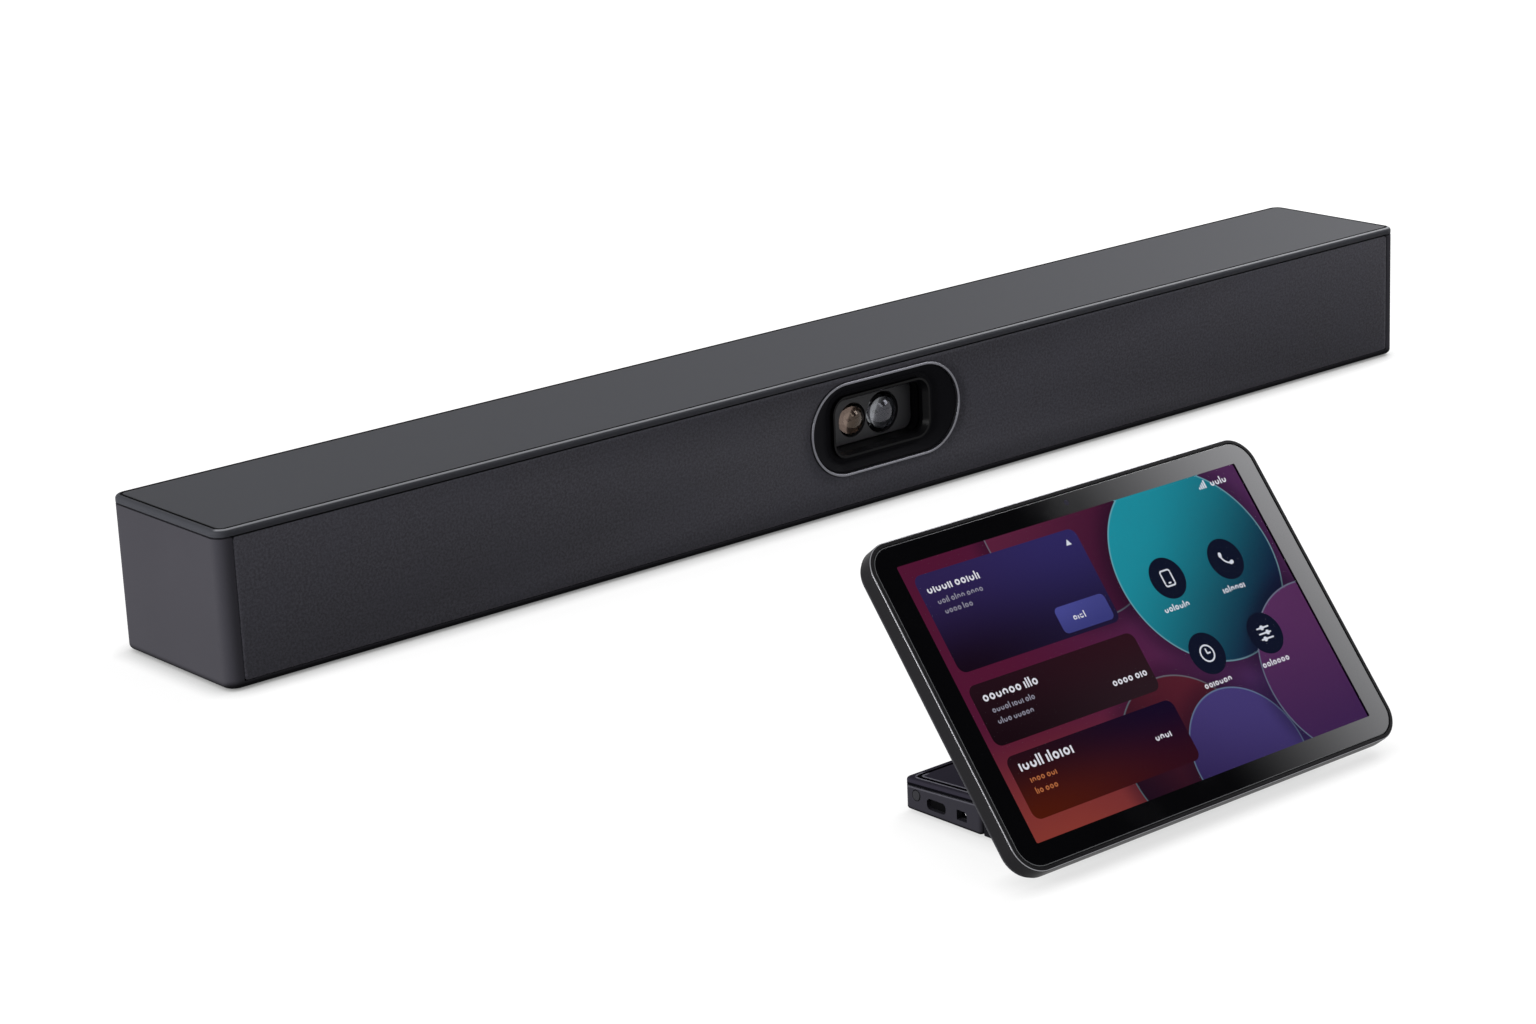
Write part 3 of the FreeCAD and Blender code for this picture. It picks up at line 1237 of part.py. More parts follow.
def base_lid():
    solid = base_plan(0, 2.0, BASE_STOCK)
    upper = wedge_above(LID_THICK)
    lid = solid.common(upper).cut(wedge_above(0))
    tops = [f for f in lid.Faces if f.normalAt(0, 0).z > 0.9]
    lid = lid.makeFillet(LID_EDGE_R, tops[0].Edges)
    outer = base_plan(LID_GROOVE_INSET, 2.0, BASE_STOCK)
    inner = base_plan(LID_GROOVE_INSET + LID_GROOVE_WIDTH, 1.0, BASE_STOCK + 1)
    groove = outer.cut(inner).common(wedge_above(LID_GROOVE_DEPTH))
    bosses = []
    bores = []
    for x, y in boss_places():
        boss = Part.makeCylinder(BASE_BOSS_R, 20.0, V(x, y, BASE_INSIDE + 0.2))
        bosses.append(boss.cut(wedge_above(LID_THICK - 0.5)))
        bores.append(Part.makeCylinder(SCREW_SHANK_R + SCREW_CLEARANCE, 7.0, V(x, y, BASE_UNDERSIDE)))
    hollow = base_plan(BASE_WALL + 1.4, 1.0, BASE_STOCK + 1)
    skirt = base_plan(BASE_WALL + 0.2, 2.0, BASE_STOCK).cut(hollow)
    skirt = skirt.common(wedge_above(LID_THICK + 2.0)).cut(wedge_above(LID_THICK - 0.5))
    ports = block(-BASE_WIDTH, -BASE_BOSS_X, 0, BASE_BACK + 5, 0, BASE_STOCK)
    skirt = skirt.cut(ports)
    return on_desk(one(lid.cut(groove).fuse(bosses + [skirt]).cut(bores)))


def lug_pockets(margin):
    half = LUG_WIDTH / 2 + margin
    near = -2 * NOSE_R
    roof = HINGE_HEIGHT + 2 * NOSE_R
    return [block(s * LUG_X - half, s * LUG_X + half, near, LUG_POCKET_BACK, 0, roof) for s in (-1, 1)]


def hinge_neck():
    low = BASE_UNDERSIDE
    high = HINGE_HEIGHT + NOSE_R
    points = [(-NOSE_R, low), (NECK_BACK, low), (NECK_BACK, high), (-NOSE_R, high)]
    section = rounded_polygon(points, [2.0, 0.5, 0.5, NOSE_R])
    body = along_x(slab(section, 2 * NECK_HALF), -NECK_HALF)
    tongue = block(-TONGUE_HALF, TONGUE_HALF, NECK_BACK - 1, BASE_FRONT + TONGUE_LENGTH,
                   BASE_INSIDE, BASE_INSIDE + TONGUE_THICK)
    bore = Part.makeCylinder(SHAFT_R, SHAFT_LENGTH, V(-SHAFT_LENGTH / 2, 0, HINGE_HEIGHT), V(1, 0, 0))
    cuts = lug_pockets(LUG_SIDE_CLEARANCE) + [bore]
    for x, y in base_foot_places():
        if y < BASE_FRONT:
            cuts.append(Part.makeCylinder(BASE_FOOT_R + 0.1, BASE_FOOT_SINK, V(x, y, BASE_UNDERSIDE)))
    for i in range(5):
        x = (i - 2) * 13.0
        cuts.append(block(x - 5.0, x + 5.0, NOSE_R + 2.5, NECK_BACK - 3.0, low - 1, high - 2.5))
    return on_desk(one(body.fuse(tongue).cut(cuts)))


def hinge_shaft():
    rod = Part.makeCylinder(SHAFT_R, SHAFT_LENGTH, V(-SHAFT_LENGTH / 2, 0, HINGE_HEIGHT), V(1, 0, 0))
    ends = [e for e in rod.Edges if e.BoundBox.XLength < 0.01]
    return on_desk(rod.makeChamfer(0.4, ends))


def base_board():
    left = BASE_BOARD_LEFT
    low = BASE_INSIDE + BASE_BOARD_LIFT
    board = block(left, left + BASE_BOARD_WIDTH, BASE_FRONT + 2.4, BASE_BACK - 2.4, low, BASE_BOARD_TOP)
    collar_end = BASE_WALL + BUTTON_CLEARANCE + SIDE_COLLAR_THICK
    switch_left = collar_end - BASE_HALF + SIDE_BUTTON_TRAVEL + BUTTON_CLEARANCE
    y = SIDE_BUTTON_Y
    body = block(switch_left + 0.6, switch_left + 4.0, y - 2.6, y + 2.6, low + 0.2, SIDE_BUTTON_Z + 1.8)
    plunger = Part.makeCylinder(0.9, 1.2, V(switch_left, y, SIDE_BUTTON_Z), V(1, 0, 0))
    chip = block(left + 9.5, left + 14.0, SIDE_USB_Y - 3, SIDE_USB_Y + 3, low + 0.2, BASE_BOARD_TOP + 1.0)
    return on_desk(one(board.fuse([body, plunger, chip])))


def side_usb_c_socket():
    shape = usb_c_socket_shape(SIDE_USB_LENGTH, 0)
    shape.rotate(V(0, 0, SIDE_USB_LENGTH / 2), V(0, 1, 0), 180)
    start = SIDE_USB_SET_BACK - BASE_HALF
    return on_desk(one(side_drawing(shape, start, SIDE_USB_Y, BASE_BOARD_TOP + 1.6)))


def side_power_jack():
    length = 7.5
    start = BASE_WALL - BASE_HALF + 0.1
    body = slab(rect(8.2, 3.9, 0.3, 0, BASE_BOARD_TOP + 1.95 - PORT_CENTRE_Z), length)
    cavity = slab(jack_shape(-0.35), length - 1.2)
    pin = Part.makeCylinder(0.55, length - 0.6, V(0.4, 0, 0.6))
    return on_desk(one(side_drawing(body.cut(cavity).fuse(pin), start, SIDE_JACK_Y, PORT_CENTRE_Z)))


def side_button():
    """Small round push button with a collar inside the wall."""
    cap = Part.makeCylinder(SIDE_BUTTON_R, BASE_WALL + 0.6, V(0, 0, -0.2))
    cap = soften(cap, 0.3, at_level(-0.2))
    collar = Part.makeCylinder(SIDE_BUTTON_R + 0.8, SIDE_COLLAR_THICK, V(0, 0, BASE_WALL + BUTTON_CLEARANCE))
    return on_desk(one(side_drawing(cap.fuse(collar), -BASE_HALF, SIDE_BUTTON_Y, SIDE_BUTTON_Z)))


def ballast():
    half = BALLAST_WIDTH / 2
    far = BASE_BACK - BASE_WALL - 2.0
    plate = block(-half, half, far - BALLAST_DEPTH, far, BASE_INSIDE, BASE_INSIDE + BALLAST_THICK)
    upright = [e for e in plate.Edges if e.BoundBox.ZLength > 1]
    return on_desk(plate.makeFillet(2.0, upright))


def base_feet():
    feet = []
    for x, y in base_foot_places():
        foot = Part.makeCylinder(BASE_FOOT_R, BASE_UNDERSIDE + BASE_FOOT_SINK, V(x, y, 0))
        feet.append(soften(foot, 0.3, at_level(0)))
    return on_desk(group(feet))


def base_screws():
    placed = []
    for x, y in boss_places():
        item = screw(5.5)
        item.translate(V(x, y, BASE_UNDERSIDE))
        placed.append(item)
    return on_desk(group(placed))


# Console screen unit, drawn about the hinge axis: Y up the screen, Z out of its front
def panel(width, height, radius, back, front, holes=()):
    solid = slab(rect(width, height, radius, 0, SCREEN_MID), front - back, holes)
    solid.translate(V(0, 0, back))
    return solid


def screen_frame():
    frame = panel(SCREEN_WIDTH, SCREEN_HEIGHT, SCREEN_CORNER_R, COVER_FRONT, FRAME_FRONT)
    frame = soften(frame, FRAME_EDGE_R, at_level(FRAME_FRONT))
    seat_w = SCREEN_WIDTH - 2 * FRAME_RIM
    seat_h = SCREEN_HEIGHT - 2 * FRAME_RIM
    seat_r = SCREEN_CORNER_R - FRAME_RIM
    seat = panel(seat_w, seat_h, seat_r, GLASS_BACK, FRAME_FRONT + 1)
    ledge = 2 * LEDGE_WIDTH
    through = panel(seat_w - ledge, seat_h - ledge, seat_r - LEDGE_WIDTH, COVER_FRONT - 1, FRAME_FRONT + 1)
    return on_hinge(one(frame.cut([seat, through])))


def cover_glass():
    glass = panel(GLASS_WIDTH, GLASS_HEIGHT, GLASS_CORNER_R, GLASS_BACK, GLASS_FRONT)
    front = [e for e in glass.Edges if at_level(GLASS_FRONT)(e)]
    return on_hinge(glass.makeChamfer(GLASS_CHAMFER, front))


def picture_panel():
    width = PICTURE_WIDTH + 2 * LCD_BORDER
    height = PICTURE_HEIGHT + 2 * LCD_BORDER
    return on_hinge(panel(width, height, 1.0, GLASS_BACK - LCD_THICK, GLASS_BACK))


def screen_back_cover():
    width = SCREEN_WIDTH - 2 * BACK_COVER_INSET
    height = SCREEN_HEIGHT - 2 * BACK_COVER_INSET
    radius = SCREEN_CORNER_R - BACK_COVER_INSET
    cover = panel(width, height, radius, HINGE_BEHIND_SCREEN, COVER_FRONT)
    cover = soften(cover, BACK_COVER_EDGE_R, at_level(HINGE_BEHIND_SCREEN))
    inset = 2 * (BACK_COVER_EDGE_R + 2.2)
    floor = HINGE_BEHIND_SCREEN + BACK_COVER_WALL
    hollow = panel(width - inset, height - inset, radius - inset / 2, floor, COVER_FRONT + 1)
    bosses = []
    for sx in (-1, 1):
        for sy in (-1, 1):
            x = sx * (SCREEN_BOARD_WIDTH / 2 - 5.0)
            y = SCREEN_MID + sy * (SCREEN_BOARD_HEIGHT / 2 - 5.0)
            bosses.append(Part.makeCylinder(2.8, COVER_FRONT - floor + 0.5, V(x, y, floor - 0.5)))
    return on_hinge(one(cover.cut(hollow).fuse(bosses).cut(lug_screw_holes())))


def lug_screw_places():
    return [(s * LUG_X, LUG_FOOT_UP - 4.0) for s in (-1, 1)]


def lug_screw_holes():
    deep = BACK_COVER_WALL + 2.0
    radius = SCREW_SHANK_R + SCREW_CLEARANCE
    return [Part.makeCylinder(radius, deep, V(x, y, HINGE_BEHIND_SCREEN - 1)) for x, y in lug_screw_places()]


def screen_board():
    low = COVER_FRONT
    board = panel(SCREEN_BOARD_WIDTH, SCREEN_BOARD_HEIGHT, 2.0, low, low + SCREEN_BOARD_THICK)
    chips = []
    for i in range(3):
        chip = slab(rect(12.0, 12.0, 0.5, (i - 1) * 30.0, SCREEN_MID + 6.0), SCREEN_BOARD_THICK + 0.9)
        chip.translate(V(0, 0, low))
        chips.append(chip)
    return on_hinge(one(board.fuse(chips)))


def light_sensor():
    y = SCREEN_MID + PICTURE_HEIGHT / 2 + LCD_BORDER + SENSOR_R + 0.2
    return on_hinge(Part.makeCylinder(SENSOR_R, 1.4, V(0, y, GLASS_BACK - 1.4)))


def hinge_lugs():
    lugs = []
    for side in (-1, 1):
        left = side * LUG_X - LUG_WIDTH / 2
        eye = Part.makeCylinder(LUG_R, LUG_WIDTH, V(left, 0, 0), V(1, 0, 0))
        web = block(left, left + LUG_WIDTH, -LUG_R, LUG_R, 0, HINGE_BEHIND_SCREEN)
        foot = block(left, left + LUG_WIDTH, -LUG_FOOT_DOWN, LUG_FOOT_UP,
                     HINGE_BEHIND_SCREEN - LUG_FOOT_THICK, HINGE_BEHIND_SCREEN)
        bore = Part.makeCylinder(SHAFT_R + SHAFT_FIT, LUG_WIDTH + 2, V(left - 1, 0, 0), V(1, 0, 0))
        hole = Part.makeCylinder(SCREW_SHANK_R + SCREW_CLEARANCE, 4.0,
                                 V(side * LUG_X, LUG_FOOT_UP - 4.0, HINGE_BEHIND_SCREEN - 3.0))
        lugs.append(one(eye.fuse([web, foot]).cut([bore, hole])))
    return on_hinge(group(lugs))


def lug_screws():
    placed = []
    for x, y in lug_screw_places():
        item = screw(2.3)
        item.translate(V(x, y, HINGE_BEHIND_SCREEN - LUG_FOOT_THICK - SCREW_HEAD_HEIGHT))
        placed.append(item)
    return on_hinge(group(placed))


PIECES = [
    bar_housing, rear_panel, bar_top_cover, front_cloth, front_grille, bar_screws, bar_feet,
    window_ring, window_dish, camera_hood, lens_plate, main_lens_barrel, side_lens_barrel,
    main_lens_glass, side_lens_glass,
    camera_board, camera_bracket, shutter_blade, shutter_gear, shutter_motor, shutter_guide,
    speaker_gaskets, speaker_baskets, speaker_cones, speaker_surrounds, speaker_magnets, speaker_boxes,
    mic_boards, mic_capsules, main_board, heat_sink, network_socket, video_sockets, usb_a_socket,
    rear_usb_c_socket, power_inlet, rear_bay, bar_button, bar_button_switch, wall_inserts, tripod_insert,
    base_tray, base_lid, hinge_neck, hinge_shaft, base_board, side_usb_c_socket, side_power_jack,
    side_button, ballast, base_feet, base_screws, screen_frame, cover_glass, picture_panel,
    screen_back_cover, screen_board, light_sensor, hinge_lugs, lug_screws,
]


def main():
    os.makedirs("parts", exist_ok=True)
    for make in PIECES:
        make().exportStep("parts/" + make.__name__ + ".step")


if __name__ == "__main__":
    main()
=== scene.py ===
# %% [markdown]
# # A conferencing bar and its desk touch console
# The set has two units: a long bar with a camera behind an oval window, and a small touch
# screen that leans on a low foot. Their solids are already measured, so this lesson loads
# them as a fixed frame and only dresses them: finishes, cloth, glass, a picture, light.

# %% Load the measured frame
import json
import math
import random

import bmesh
import bpy
from mathutils import Matrix, Vector


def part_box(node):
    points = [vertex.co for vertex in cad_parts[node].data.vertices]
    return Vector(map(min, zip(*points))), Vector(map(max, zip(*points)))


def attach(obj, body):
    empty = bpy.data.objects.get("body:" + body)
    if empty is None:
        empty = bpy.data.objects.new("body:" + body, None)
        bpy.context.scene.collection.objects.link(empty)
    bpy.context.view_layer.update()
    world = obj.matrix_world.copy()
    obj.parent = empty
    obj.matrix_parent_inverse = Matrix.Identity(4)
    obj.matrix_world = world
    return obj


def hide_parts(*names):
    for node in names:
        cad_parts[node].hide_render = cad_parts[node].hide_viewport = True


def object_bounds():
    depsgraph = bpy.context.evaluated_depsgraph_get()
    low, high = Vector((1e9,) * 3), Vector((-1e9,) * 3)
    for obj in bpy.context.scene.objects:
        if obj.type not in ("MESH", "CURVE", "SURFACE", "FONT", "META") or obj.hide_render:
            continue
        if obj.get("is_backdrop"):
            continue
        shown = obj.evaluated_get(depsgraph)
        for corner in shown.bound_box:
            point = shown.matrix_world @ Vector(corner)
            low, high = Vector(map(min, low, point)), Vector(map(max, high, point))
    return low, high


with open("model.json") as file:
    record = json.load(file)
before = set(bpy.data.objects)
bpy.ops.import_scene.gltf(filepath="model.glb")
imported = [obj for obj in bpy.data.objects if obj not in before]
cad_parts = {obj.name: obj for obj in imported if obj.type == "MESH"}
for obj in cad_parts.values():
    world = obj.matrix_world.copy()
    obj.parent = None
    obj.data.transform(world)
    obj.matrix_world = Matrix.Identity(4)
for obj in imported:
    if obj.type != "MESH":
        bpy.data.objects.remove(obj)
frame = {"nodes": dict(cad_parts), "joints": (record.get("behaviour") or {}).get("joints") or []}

MM = 0.001
nodes = frame["nodes"]
joints = {joint["name"]: joint for joint in frame["joints"]}
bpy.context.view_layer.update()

# %% [markdown]
# ## The camera first
# The picture was taken from the left, a little above the bar, with a longish lens. The place
# was solved from corners and edges of both units, and the turn is written as a compass turn,
# a downward tilt and a slight roll, which is easier to read than a matrix of numbers.

# %% Camera
cloth_low, cloth_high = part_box("front_cloth")
BAR_FRONT = cloth_low.y
CAMERA_PLACE = Vector((-1.072, BAR_FRONT - 1.198, 0.481))
CAMERA_TURN = math.radians(39.82)
CAMERA_DOWN = math.radians(16.75)
CAMERA_ROLL = math.radians(-2.51)
SENSOR_WIDTH = 36.0
IMAGE_WIDTH = 1536
FOCAL_PIXELS = 3621


def add(name, data):
    """Put an object with this data into the scene."""
    made = bpy.data.objects.new(name, data)
    bpy.context.scene.collection.objects.link(made)
    return made


camera_data = bpy.data.cameras.new("camera")
camera_data.sensor_width = SENSOR_WIDTH
camera_data.lens = SENSOR_WIDTH * FOCAL_PIXELS / IMAGE_WIDTH
camera_data.clip_start = 0.05
camera = add("camera", camera_data)
camera_turn = (Matrix.Rotation(-CAMERA_TURN, 4, "Z")
               @ Matrix.Rotation(math.pi / 2 - CAMERA_DOWN, 4, "X")
               @ Matrix.Rotation(CAMERA_ROLL, 4, "Z"))
camera.matrix_world = Matrix.Translation(CAMERA_PLACE) @ camera_turn
bpy.context.scene.camera = camera
print("lens", round(camera_data.lens, 2), "mm")

# %% [markdown]
# ## Two drawing boards
# Pieces are drawn flat in millimetres, then laid in place by one matrix, so that a finished
# object sits at the origin with its place in its mesh. One board is the front face of the
# bar, the other is the leaning screen, whose zero is the hinge axis.

# %% Drawing boards
LEAN = math.radians(51.6)
HINGE = Vector(joints["screen_tilt"]["pos_m"])
TO_METRES = Matrix.Scale(MM, 4)
BAR_BOARD = (Matrix.Translation((0, BAR_FRONT, 0)) @ Matrix.Rotation(math.pi / 2, 4, "X")
             @ TO_METRES)
SCREEN_BOARD = Matrix.Translation(HINGE) @ Matrix.Rotation(LEAN, 4, "X") @ TO_METRES
print("bar front at", round(BAR_FRONT, 4), "hinge at", [round(v, 4) for v in HINGE])

# %% [markdown]
# ## Shader sums as Python
# A finish is a node graph, and graphs are tedious to read as lists of links. Here a socket
# is wrapped so that plain sums on it add the Math nodes. Each operator comes with its
# reflected form, so that a number may also stand on the left, as in 1 - mask.

# %% Sums on sockets
def both_ways(operation):
    """A Math operation as an operator method, and its reflected form."""
    def method(self, other):
        return self.sum(operation, self, other)

    def reflected(self, other):
        return self.sum(operation, other, self)
    return method, reflected


class Value:
    """A socket of a node graph that takes part in Python sums."""

    __add__, __radd__ = both_ways("ADD")
    __sub__, __rsub__ = both_ways("SUBTRACT")
    __mul__, __rmul__ = both_ways("MULTIPLY")
    __truediv__, __rtruediv__ = both_ways("DIVIDE")
    __pow__, __rpow__ = both_ways("POWER")

    def __init__(self, graph, socket):
        self.graph = graph
        self.socket = socket

    def sum(self, operation, *parts):
        settings = {"operation": operation}
        return self.graph.node("ShaderNodeMath", settings, dict(enumerate(parts)))

    def wave(self):
        return self.sum("SINE", self)

    def size(self):
        return self.sum("ABSOLUTE", self)

    def top(self, other):
        return self.sum("MAXIMUM", self, other)


print("Value:", Value.__doc__)

# %% [markdown]
# ## One method for every node
# Every node that isn't a sum comes from one method that takes its kind, its settings and
# what feeds it. Finishes and the room share it, so the graph is a class of its own.

# %% Graphs
class Graph:
    """A node tree whose nodes all come from one method."""

    def __init__(self, tree):
        self.tree = tree

    def feed(self, socket, value):
        if isinstance(value, Value):
            self.tree.links.new(value.socket, socket)
        else:
            socket.default_value = value

    def node(self, kind, settings=None, inputs=None, out=0):
        made = self.tree.nodes.new(kind)
        for key, value in (settings or {}).items():
            setattr(made, key, value)
        for key, value in (inputs or {}).items():
            self.feed(made.inputs[key], value)
        return Value(self, made.outputs[out])


print("Graph:", Graph.__doc__)

# %% [markdown]
# ## A finish is a graph
# A finish is such a graph around one Principled shader, with short names for the patterns
# that keep coming back: cloudy noise, soft steps and the inset from an edge.

# %% Finishes
MIX_FACTOR, MIX_FIRST, MIX_SECOND, MIX_RESULT = 0, 6, 7, 2


class Finish(Graph):
    """A procedural material: one Principled shader and the nodes that feed it."""

    def __init__(self, name, **constants):
        self.material = bpy.data.materials.new(name)
        self.material.use_nodes = True
        super().__init__(self.material.node_tree)
        self.shader = self.tree.nodes["Principled BSDF"]
        self.set(**constants)

    def set(self, **sockets):
        for key, value in sockets.items():
            self.feed(self.shader.inputs[key.replace("_", " ")], value)
        return self

    def place(self):
        return self.node("ShaderNodeTexCoord", out="Object")

    def axes(self, place=None):
        split = self.node("ShaderNodeSeparateXYZ", {}, {0: place or self.place()})
        return [Value(self, out) for out in split.socket.node.outputs]

    def board_axes(self):
        """Across, up and out of the leaning screen, in millimetres from the hinge."""
        inputs = {0: self.place(), "Location": HINGE, "Rotation": (LEAN, 0, 0),
                  "Scale": (MM, MM, MM)}
        return self.axes(self.node("ShaderNodeMapping", {"vector_type": "TEXTURE"}, inputs))

    def noise(self, grain, detail=2.0, place=None, rough=0.5):
        """Cloudy pattern between 0 and 1 with lumps about one grain (in metres) across."""
        inputs = {"Vector": place or self.place(), "Scale": 1 / grain, "Detail": detail,
                  "Roughness": rough}
        return self.node("ShaderNodeTexNoise", {}, inputs)

    def mix(self, factor, first, second):
        settings = {"data_type": "RGBA", "blend_type": "MIX", "clamp_factor": True}
        inputs = {MIX_FACTOR: factor, MIX_FIRST: first, MIX_SECOND: second}
        return self.node("ShaderNodeMix", settings, inputs, MIX_RESULT)

    def step(self, value, start, end):
        """Smooth step of a value from 0 at start to 1 at end."""
        inputs = {0: value, 1: start, 2: end}
        return self.node("ShaderNodeMapRange", {"interpolation_type": "SMOOTHSTEP"}, inputs)

    def band(self, value, rise, fall):
        """1 between two soft borders, each given by where it starts and ends."""
        return self.step(value, *rise) * self.step(value, *fall)

    def inset(self, u, v, half_u, half_v, corner):
        """How far a point near the edge lies inside a rectangle with round corners."""
        over_u = (u.size() - (half_u - corner)).top(0.0)
        over_v = (v.size() - (half_v - corner)).top(0.0)
        return corner - (over_u * over_u + over_v * over_v) ** 0.5

    def bump(self, height, depth, strength):
        inputs = {"Height": height, "Distance": depth, "Strength": strength}
        return self.set(Normal=self.node("ShaderNodeBump", {}, inputs))


print("Finish:", Finish.__doc__)

# %% [markdown]
# ## Colours as they look
# A colour is written as it is seen on a screen, 0 to 255, because that is how one reads it
# off a picture. Blender reckons in linear light, so one function converts it.

# %% Colours
def linear(share):
    return share / 12.92 if share <= 0.04045 else ((share + 0.055) / 1.055) ** 2.4


def tone(red, green, blue):
    """Colour as seen on a screen, turned into scene-linear light."""
    return tuple([linear(part / 255) for part in (red, green, blue)] + [1.0])


def darker(colour, share):
    """The same hue with this share of its light."""
    return tuple([part * share for part in colour[:3]] + [1.0])


WHITE = (1, 1, 1, 1)
BLACK = (0, 0, 0, 1)
print("mid grey in linear light:", round(tone(128, 128, 128)[0], 3))

# %% [markdown]
# ## Hard finishes
# Moulded plastic is never one colour: the mould is spark-eroded, so it has a fine grain, and
# handling leaves soft cloudy changes of gloss. One function gives every plastic that family
# likeness, and a second does the same for metals with a brushed or turned direction.

# %% Plastic and metal
CLOUD_SIZE, CLOUD_SWING = 60 * MM, 0.1
PIT_SHARE, PIT_SHADE = 0.25, 0.6
BRUSH_SIZE, BRUSH_DEPTH = 0.3 * MM, 0.004 * MM
BRUSH_SHARE, BRUSH_SHADE = 0.35, 0.55
TARNISH_SIZE, TARNISH_SHADE = 18 * MM, 0.82


def moulded(name, colour, rough, grain=0.45 * MM, depth=0.02 * MM, shine=0.12, paint=None):
    """Grained plastic. The paint function may change its colour from place to place."""
    finish = Finish(name, Specular_IOR_Level=shine)
    clouds = finish.noise(CLOUD_SIZE, 3.0)
    grains = finish.noise(grain, 2.0)
    shade = finish.mix(clouds, darker(colour, 1 - CLOUD_SWING), darker(colour, 1 + CLOUD_SWING))
    if paint:
        shade = paint(finish, shade)
    finish.set(Base_Color=finish.mix(PIT_SHARE * grains, shade, darker(colour, PIT_SHADE)))
    finish.set(Roughness=rough - 0.05 + 0.06 * grains + 0.05 * clouds)
    return finish.bump(grains, depth, 0.5).material


def metal(name, colour, rough, stretch=(1, 1, 1)):
    """Brushed metal. The brush lines are long where the stretch is small."""
    finish = Finish(name, Metallic=1.0)
    lay = finish.node("ShaderNodeMapping", {}, {0: finish.place(), "Scale": stretch})
    lines = finish.noise(BRUSH_SIZE, 3.0, lay)
    tarnish = finish.noise(TARNISH_SIZE, 2.0)
    shade = finish.mix(tarnish, darker(colour, TARNISH_SHADE), colour)
    finish.set(Base_Color=finish.mix(BRUSH_SHARE * lines, shade, darker(colour, BRUSH_SHADE)))
    finish.set(Roughness=rough - 0.06 + 0.14 * lines)
    return finish.bump(lines, BRUSH_DEPTH, 0.4).material


print("clouds", round(CLOUD_SIZE / MM), "mm, brush lines", round(BRUSH_SIZE / MM, 1), "mm")

# %% [markdown]
# ## Painted light and shade on the bar
# Shade is painted black into the joint round the bar's top cover, a painted highlight makes
# its front edge pale, and painted shade darkens its far edge. The shell has painted shade,
# black, where it nears the table, and on its front rims. These are narrow changes of colour
# on solids that already have the groove, so soft steps of a distance draw them.

# %% Painted light and shade on the bar
# In these lines a pair gives where a soft step starts and where it is full.
# Painted shade: black where the shell nears the table, and darker front rims.
PAINTED_SHADE_TONE = tone(3, 3, 4)
BOTTOM_SHADE_HEIGHT = (4.2 * MM, 1.0 * MM)
BOTTOM_SHADE_RISE = 0.8 * MM
RIM_SHADE_TONE = tone(59, 58, 64)
RIM_SHADE_DEPTH = (BAR_FRONT + 6 * MM, BAR_FRONT + 1.5 * MM)
COVER_CORNER = 6.0 * MM
# Painted highlight on the cover's front edge, and painted shade, black, in its joint.
COVER_EDGE_HIGHLIGHT = (0.5, 0.9), (1.95, 1.85)
COVER_JOINT_SHADE = (1.85, 1.95), (3.6, 3.4)


def plan_inset(finish, low, high, corner):
    """How far a point lies inside a box seen from above, in millimetres."""
    x, y, z = finish.axes()
    middle, half = (low + high) / 2, (high - low) / 2
    return finish.inset(x - middle.x, y - middle.y, half.x, half.y, corner) * (1 / MM)


def shell_painted_shade(finish, shade):
    """Painted shade: black near the table, higher in front, and front rims as dark as the cloth.
    """
    x, y, z = finish.axes()
    # Painted shade on the front rim, which turns away from the lamps.
    front = finish.step(y, *RIM_SHADE_DEPTH)
    shade = finish.mix(front, shade, RIM_SHADE_TONE)
    return finish.mix(finish.step(z - front * BOTTOM_SHADE_RISE, *BOTTOM_SHADE_HEIGHT), shade, PAINTED_SHADE_TONE)


def cover_painted_light(finish, shade):
    """Painted shade, black, in the cover's groove; a painted highlight on its front edge;
    painted shade on its far edge.
    """
    low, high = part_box("bar_top_cover")
    x, y, z = finish.axes()
    inset = plan_inset(finish, low, high, COVER_CORNER)
    # Painted highlight: the pale front edge.
    edge = finish.band(inset, *COVER_EDGE_HIGHLIGHT) * finish.step(y, low.y + 5 * MM, low.y + 3 * MM)
    shade = finish.mix(edge, shade, tone(138, 139, 144))
    # Painted shade: the joint round the cover is painted black.
    shade = finish.mix(finish.band(inset, *COVER_JOINT_SHADE), shade, tone(4, 4, 5))
    # Painted shade along the far edge.
    far_shade = finish.step(y, high.y - 2.1 * MM, high.y - 1.8 * MM)
    return finish.mix(far_shade, shade, tone(10, 10, 12))


print("black joint", COVER_JOINT_SHADE[0][0], "to", COVER_JOINT_SHADE[1][0], "mm inside the cover's edge")

# %% [markdown]
# ## Painted light and shade on the foot
# The console's foot is a tray with a sloping lid. The lid's groove and a band below its rim
# are painted black as shade, and its two lips have painted highlights on the lit side. The
# tray has a painted highlight on its upper edge and painted shade, black, along its bottom.
# All of them follow the slope, so they are drawn from the depth under the sloping top. The
# pin of the power jack in its side is painted near white at its tip in the same way, partly as a
# glint.

# %% Painted light and shade on the foot
FOOT_SLOPE = 0.06
# Painted shade, black, along the tray's bottom, and a painted highlight on its upper edge.
FOOT_BOTTOM_SHADE = (2.4 * MM, 1.5 * MM)
TRAY_EDGE_HIGHLIGHT = (3.35, 3.2)
LID_CORNER = 6.0 * MM
# Painted shade in the lid's groove and seam, and painted highlights on its lips.
LID_GROOVE, LID_GROOVE_SHADE_HALF, LID_LIP_HIGHLIGHT_HALF = 3.4, (0.85, 0.75), (1.7, 1.5)
LID_TOP, LID_SEAM_SHADE = (0.4, 0.2), (1.2, 1.5)


